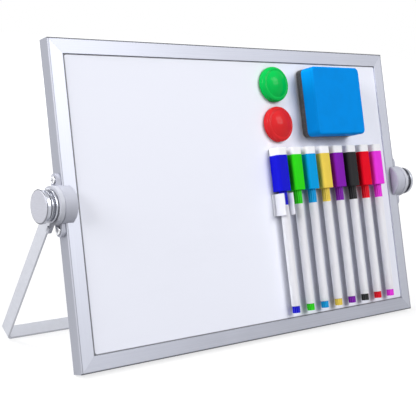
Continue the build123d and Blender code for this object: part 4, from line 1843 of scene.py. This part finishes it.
    def neck_rings(self, bottom: float) -> tuple[np.ndarray, np.ndarray]:
        """The neck from its spigot in the barrel to the nib's sleeve, fluted below the cap.

        Args:
            bottom: Height of the neck's foot.

        Returns:
            The rings and their relief.
        """
        radius = self.neck_radius
        spigot = self.barrel_radius - self.barrel_wall - self.spigot_fit
        spigot_low = bottom - self.spigot
        shoulder = self.cap_bottom + self.neck_plug
        sleeve_top = shoulder + self.sleeve
        heights = np.linspace(bottom + 0.6, self.cap_bottom - 0.2, 12)
        foot = [
            (POLE_RADIUS, spigot_low),
            (spigot - self.chamfer, spigot_low),
            (spigot, spigot_low + self.chamfer),
            (spigot, bottom),
            (radius - self.neck_edge, bottom),
            (radius, bottom + self.neck_edge),
        ]
        head = [
            (radius, shoulder),
            (self.sleeve_radius, shoulder + self.sleeve / 2),
            (self.sleeve_radius, sleeve_top - self.chamfer),
            (self.sleeve_radius - self.chamfer, sleeve_top),
            (POLE_RADIUS, sleeve_top),
        ]
        wall = np.column_stack([np.full(len(heights), radius), heights])
        profile = np.concatenate([np.array(foot), wall, np.array(head)])
        return self.fluted(profile, bottom + 0.5, self.cap_bottom)

    def barrel_rings(self, low: float, high: float) -> np.ndarray:
        """The barrel, a tube with eased ends.

        Args:
            low: Height of its foot.
            high: Height of its top.

        Returns:
            The rings about the pen's axis.
        """
        bore = self.barrel_radius - self.barrel_wall
        tube = [
            (bore, low, 0.1),
            (self.barrel_radius, low, 0.3),
            (self.barrel_radius, high, 0.3),
            (bore, high, 0.1),
        ]
        return turned_rings(rounded(tube), 64)

    def plug_rings(self, top: float) -> tuple[np.ndarray, np.ndarray]:
        """The fluted end plug, with its spigot in the barrel.

        Args:
            top: Height of the barrel's foot, where the plug is seated.

        Returns:
            The rings and their relief.
        """
        radius = self.plug_radius
        spigot = self.barrel_radius - self.barrel_wall - self.spigot_fit
        spigot_top = top + self.spigot
        low = top - self.plug
        heights = np.linspace(low + self.plug_edge, top - 0.1, 8)
        foot = [(POLE_RADIUS, low), (radius - self.plug_edge, low)]
        head = [(radius, top), (spigot, top), (spigot, spigot_top), (POLE_RADIUS, spigot_top)]
        wall = np.column_stack([np.full(len(heights), radius), heights])
        profile = np.concatenate([np.array(foot), wall, np.array(head)])
        return self.fluted(profile, low, top + 0.2)

    def nib_rings(self) -> np.ndarray:
        """The nib, from inside its sleeve to its round tip.

        Returns:
            The rings about the pen's axis.
        """
        sleeve_top = self.cap_bottom + self.neck_plug + self.sleeve
        start = sleeve_top - 0.5
        tip = sleeve_top + self.nib
        corners = [
            (0, start, 0),
            (self.nib_radius, start, 0.1),
            (self.nib_radius, tip, 0.6),
            (0, tip, 0),
        ]
        return turned_rings(rounded(corners)[1:-1], 32)

    def form(
        self, rings: np.ndarray, ends: Ends = Ends.POLE, ribs: np.ndarray | None = None
    ) -> Form:
        """Stands rings on the pen's axis.

        Args:
            rings: Rings about the axis.
            ends: How their ends are closed.
            ribs: Their relief, if they are fluted.

        Returns:
            The form that they make.
        """
        return Form(ON_BOARD).add(shifted(rings, *self.axis()), ends, ribs)

    def build(self) -> None:
        """Makes the cap, its felt, the neck, the barrel, the end plug and the nib."""
        colour, tone = self.ink.value
        finish = marker_finish(colour, tone)
        cap_body = colour + "_cap"
        pen_body = colour + "_pen"
        neck_foot = self.cap_bottom - self.neck
        barrel_foot = neck_foot - self.barrel
        cap = self.form(self.cap_rings()).build(colour + "_cap_shell")
        finished(cap, finish, cap_body, colour + "_cap")
        felt = self.form(self.felt_rings(), Ends.FLAT).build(colour + "_cap_tip")
        finished(felt, CAP_FELT, cap_body, colour + "_cap_felt")
        rings, ribs = self.neck_rings(neck_foot)
        neck = self.form(rings, Ends.POLE, ribs).build(colour + "_neck_ribbed")
        finished(neck, finish, pen_body, colour + "_neck")
        rings = self.barrel_rings(barrel_foot, neck_foot)
        barrel = self.form(rings, Ends.JOINED).build(colour + "_barrel_tube")
        finished(barrel, BARREL_WHITE, pen_body, colour + "_barrel")
        rings, ribs = self.plug_rings(barrel_foot)
        plug = self.form(rings, Ends.POLE, ribs).build(colour + "_end_plug")
        finished(plug, finish, pen_body)
        nib = self.form(self.nib_rings()).build(colour + "_nib")
        finished(nib, finish, pen_body)


@dataclass
class PenClip:
    """Open channel round the first marker, with its magnet strip behind, in millimetres.

    Attributes:
        marker: The marker that it holds.
        width: Its size across the board.
        height: Its size up the board.
        reach: How far its walls stand off the strip.
        wall: Thickness of a wall at its front.
        trough: Radius of the trough that the pen lies in.
        step: How far in front of the pen's axis the mouth widens.
        top_gap: Distance from the cap's mouth to its upper edge.
        strip: Thickness of the magnet strip.
        strip_width: Width of the strip.
        strip_corner: Radius of the strip's corners.
        edge: Radius of the end edges.
    """

    marker: Marker
    width: float = 9.6
    height: float = 15.3
    reach: float = 9.0
    wall: float = 1.0
    trough: float = 3.15
    step: float = 1.5
    top_gap: float = 1.6
    strip: float = 0.7
    strip_width: float = 13.6
    strip_corner: float = 0.15
    edge: float = 0.1

    def section(self) -> np.ndarray:
        """Cuts across the channel.

        Two walls stand at the sides of a half-round trough, and step back where the mouth
        widens.

        Returns:
            Closed outline, as (x, y) about the pen's axis, anticlockwise.
        """
        half = self.width / 2
        back = self.marker.cap_depth / 2 - self.strip
        front = back - self.reach
        inner = half - self.wall
        angle = np.linspace(0, math.pi, 25)
        trough = self.trough * np.stack([np.cos(angle), np.sin(angle)], axis=1)
        right = rounded(
            [
                (0, back, 0),
                (-half, back, 0.15),
                (-half, front, 0.3),
                (-inner, front, 0.3),
                (-inner, -self.step, 0.15),
                (-self.trough, -self.step, 0.15),
                (-self.trough, 0, 0),
            ],
            5,
        )[1:-1]
        left = (right * np.array([-1.0, 1.0]))[::-1]
        return np.concatenate([right, trough[::-1], left])

    def build(self) -> None:
        """Makes the channel and the strip."""
        x, y = self.marker.axis()
        top = self.marker.cap_bottom - self.top_gap
        levels = edge_levels(top - self.height, top, self.edge, self.edge, 3)
        strip = box_outline(self.strip_width / 2, self.strip / 2, self.strip_corner, 3)
        strip_y = y + (self.marker.cap_depth - self.strip) / 2
        form = Form(ON_BOARD)
        form.add(shifted(slab_rings(self.section(), levels), x, y))
        form.add(shifted(slab_rings(strip, levels), x, strip_y))
        finished(form.build("pen_clip_channel"), CLIP_WHITE, "pen_clip", "pen_clip")


# ------------------------------------------------------------------------- the studio
@dataclass
class Viewpoint:
    """The camera.

    Attributes:
        spot: Its place in the part's frame, in metres.
        heading: Degrees from +Y towards +X.
        pitch: Degrees above the level.
        roll: Degrees that it leans to the left.
        focal_px: Focal length, in pixels of the picture.
        centre_px: Where its axis meets the picture, in pixels.
        picture_px: Width of the square picture, in pixels.
        sensor: Sensor width, in millimetres.
        clip: Nearest and farthest distance that it sees, in metres.
    """

    spot: tuple[float, float, float] = (-0.43698, -0.47290, 0.21056)
    heading: float = 39.221
    pitch: float = -10.337
    roll: float = 4.374
    focal_px: float = 948.59
    centre_px: tuple[float, float] = (191.64, 192.24)
    picture_px: float = 416.0
    sensor: float = 36.0
    clip: tuple[float, float] = (0.02, 50.0)

    def build(self) -> None:
        """Makes the camera and gives it to the scene."""
        data = bpy.data.cameras.new("viewpoint")
        data.sensor_width = self.sensor
        data.lens = self.focal_px / self.picture_px * self.sensor
        data.shift_x = 0.5 - self.centre_px[0] / self.picture_px
        data.shift_y = self.centre_px[1] / self.picture_px - 0.5
        data.clip_start, data.clip_end = self.clip
        camera = bpy.data.objects.new("viewpoint", data)
        bpy.context.scene.collection.objects.link(camera)
        level = Matrix.Rotation(math.radians(-self.heading), 4, "Z")
        tilt = Matrix.Rotation(math.radians(90 + self.pitch), 4, "X")
        roll = Matrix.Rotation(math.radians(self.roll), 4, "Z")
        camera.matrix_world = Matrix.Translation(self.spot) @ level @ tilt @ roll
        bpy.context.scene.camera = camera


@dataclass(frozen=True)
class Lamp:
    """A square lamp aimed at the middle of the tilt axis.

    Attributes:
        name: The lamp's name.
        spot: Its place, in metres.
        size: Side of the square, in metres.
        share: Share of plain daylight that it adds on what faces it.
    """

    name: str
    spot: tuple[float, float, float]
    size: float
    share: float

    def build(self) -> None:
        """Makes the lamp.

        A lamp of power P at a distance d lights what faces it by P / (pi d squared), and
        plain daylight is pi, so its power is the share times pi squared times d squared.
        """
        away = Vector(self.spot) - Vector((0.0, 0.0, ON_BOARD.pivot))
        data = bpy.data.lights.new(self.name, "AREA")
        data.size = self.size
        data.energy = self.share * math.pi**2 * away.length_squared
        lamp = bpy.data.objects.new(self.name, data)
        bpy.context.scene.collection.objects.link(lamp)
        lamp.location = self.spot
        lamp.rotation_mode = "QUATERNION"
        lamp.rotation_quaternion = away.to_track_quat("Z", "Y")


# The key lights the front from the right, and the last one only what faces away from it.
LAMPS = (
    Lamp("key", (0.92, -1.80, 1.52), 1.3, 0.77),
    Lamp("side", (-2.10, -0.20, 1.25), 1.1, 0.76),
    Lamp("rear", (-0.69, 0.80, 2.15), 0.8, 0.45),
    Lamp("back", (0.70, 2.30, 0.75), 1.2, 0.45),
)


@dataclass
class Studio:
    """Floor, backdrop and lamps.

    Attributes:
        sky: Brightness of the surroundings as they light the object.
        floor: Colour of the floor.
        floor_lift: Brightness that the floor gains where it is seen; it lights nothing.
        floor_glow: The most that it may gain far away.
        floor_half: Half the floor's width, in metres.
        far: Squared distances from the easel between which the floor gains more.
        far_lift: How much more it gains far away.
    """

    sky: float = 0.10
    floor: tuple[float, ...] = (0.30, 0.30, 0.304, 1.0)
    floor_lift: float = 0.71
    floor_glow: float = 1.5
    floor_half: float = 6.0
    far: tuple[float, float] = (0.1, 2.5)
    far_lift: float = 0.4

    def seen(self, graph: Graph) -> Wire:
        """Says whether a ray shows a thing or only lights with it.

        Args:
            graph: The graph that asks.

        Returns:
            One on rays from the camera, in reflections and through glass, else zero.
        """
        path = graph.node("ShaderNodeLightPath", None, None, "Is Camera Ray")
        outputs = path.socket.node.outputs
        glossy = Wire(graph, outputs["Is Glossy Ray"])
        through = Wire(graph, outputs["Is Transmission Ray"])
        return path.at_least(glossy).at_least(through)

    def build_world(self) -> None:
        """White where it is seen, and a softer light where it lights."""
        world = bpy.data.worlds.new("studio")
        bpy.context.scene.world = world
        graph = Graph(world, Ending.SKY)
        graph.surface(Color=WHITE, Strength=self.seen(graph).ramp(0.0, 1.0, self.sky, 1.0))

    def build_floor(self) -> None:
        """A wide white sheet on the plane that the easel stands on."""
        half = self.floor_half
        corners = [(-half, -half, 0), (half, -half, 0), (half, half, 0), (-half, half, 0)]
        mesh = bpy.data.meshes.new("floor")
        mesh.from_pydata(corners, [], [(0, 1, 2, 3)])
        floor = bpy.data.objects.new("floor", mesh)
        bpy.context.scene.collection.objects.link(floor)
        material = bpy.data.materials.new("floor_white")
        graph = Graph(material)
        east, north = graph.parts(graph.local(ON_TABLE))[:2]
        away = (east * east + north * north).ramp(*self.far, 0.0, self.far_lift)
        lift = self.seen(graph) * (away + self.floor_lift) / self.floor_glow
        graph.surface(
            Base_Color=self.floor,
            Roughness=1.0,
            Specular_IOR_Level=0.0,
            Emission_Color=graph.blend(lift, BLACK, WHITE),
            Emission_Strength=self.floor_glow,
        )
        mesh.materials.append(material)

    def build(self) -> None:
        """Makes the studio."""
        self.build_world()
        self.build_floor()
        for lamp in LAMPS:
            lamp.build()
        bpy.context.scene.view_settings.view_transform = "Standard"


def main() -> None:
    """Builds every sub-assembly in order, then the studio."""
    logging.basicConfig(level=logging.INFO, format="%(name)s %(message)s")
    Viewpoint().build()
    FrameRails().build()
    BoardCore().build()
    StandBar().build()
    Knob(-1, "left_knob").build()
    Knob(1, "right_knob").build()
    RoundMagnet("green", rgb(0, 188, 78), 74.0).build()
    RoundMagnet("red", rgb(214, 40, 44), 45.6).build()
    Eraser().build()
    markers = [Marker(ink, place) for place, ink in enumerate(Ink)]
    for marker in markers:
        marker.build()
    PenClip(markers[0]).build()
    Studio().build()


if __name__ == "__main__":
    main()
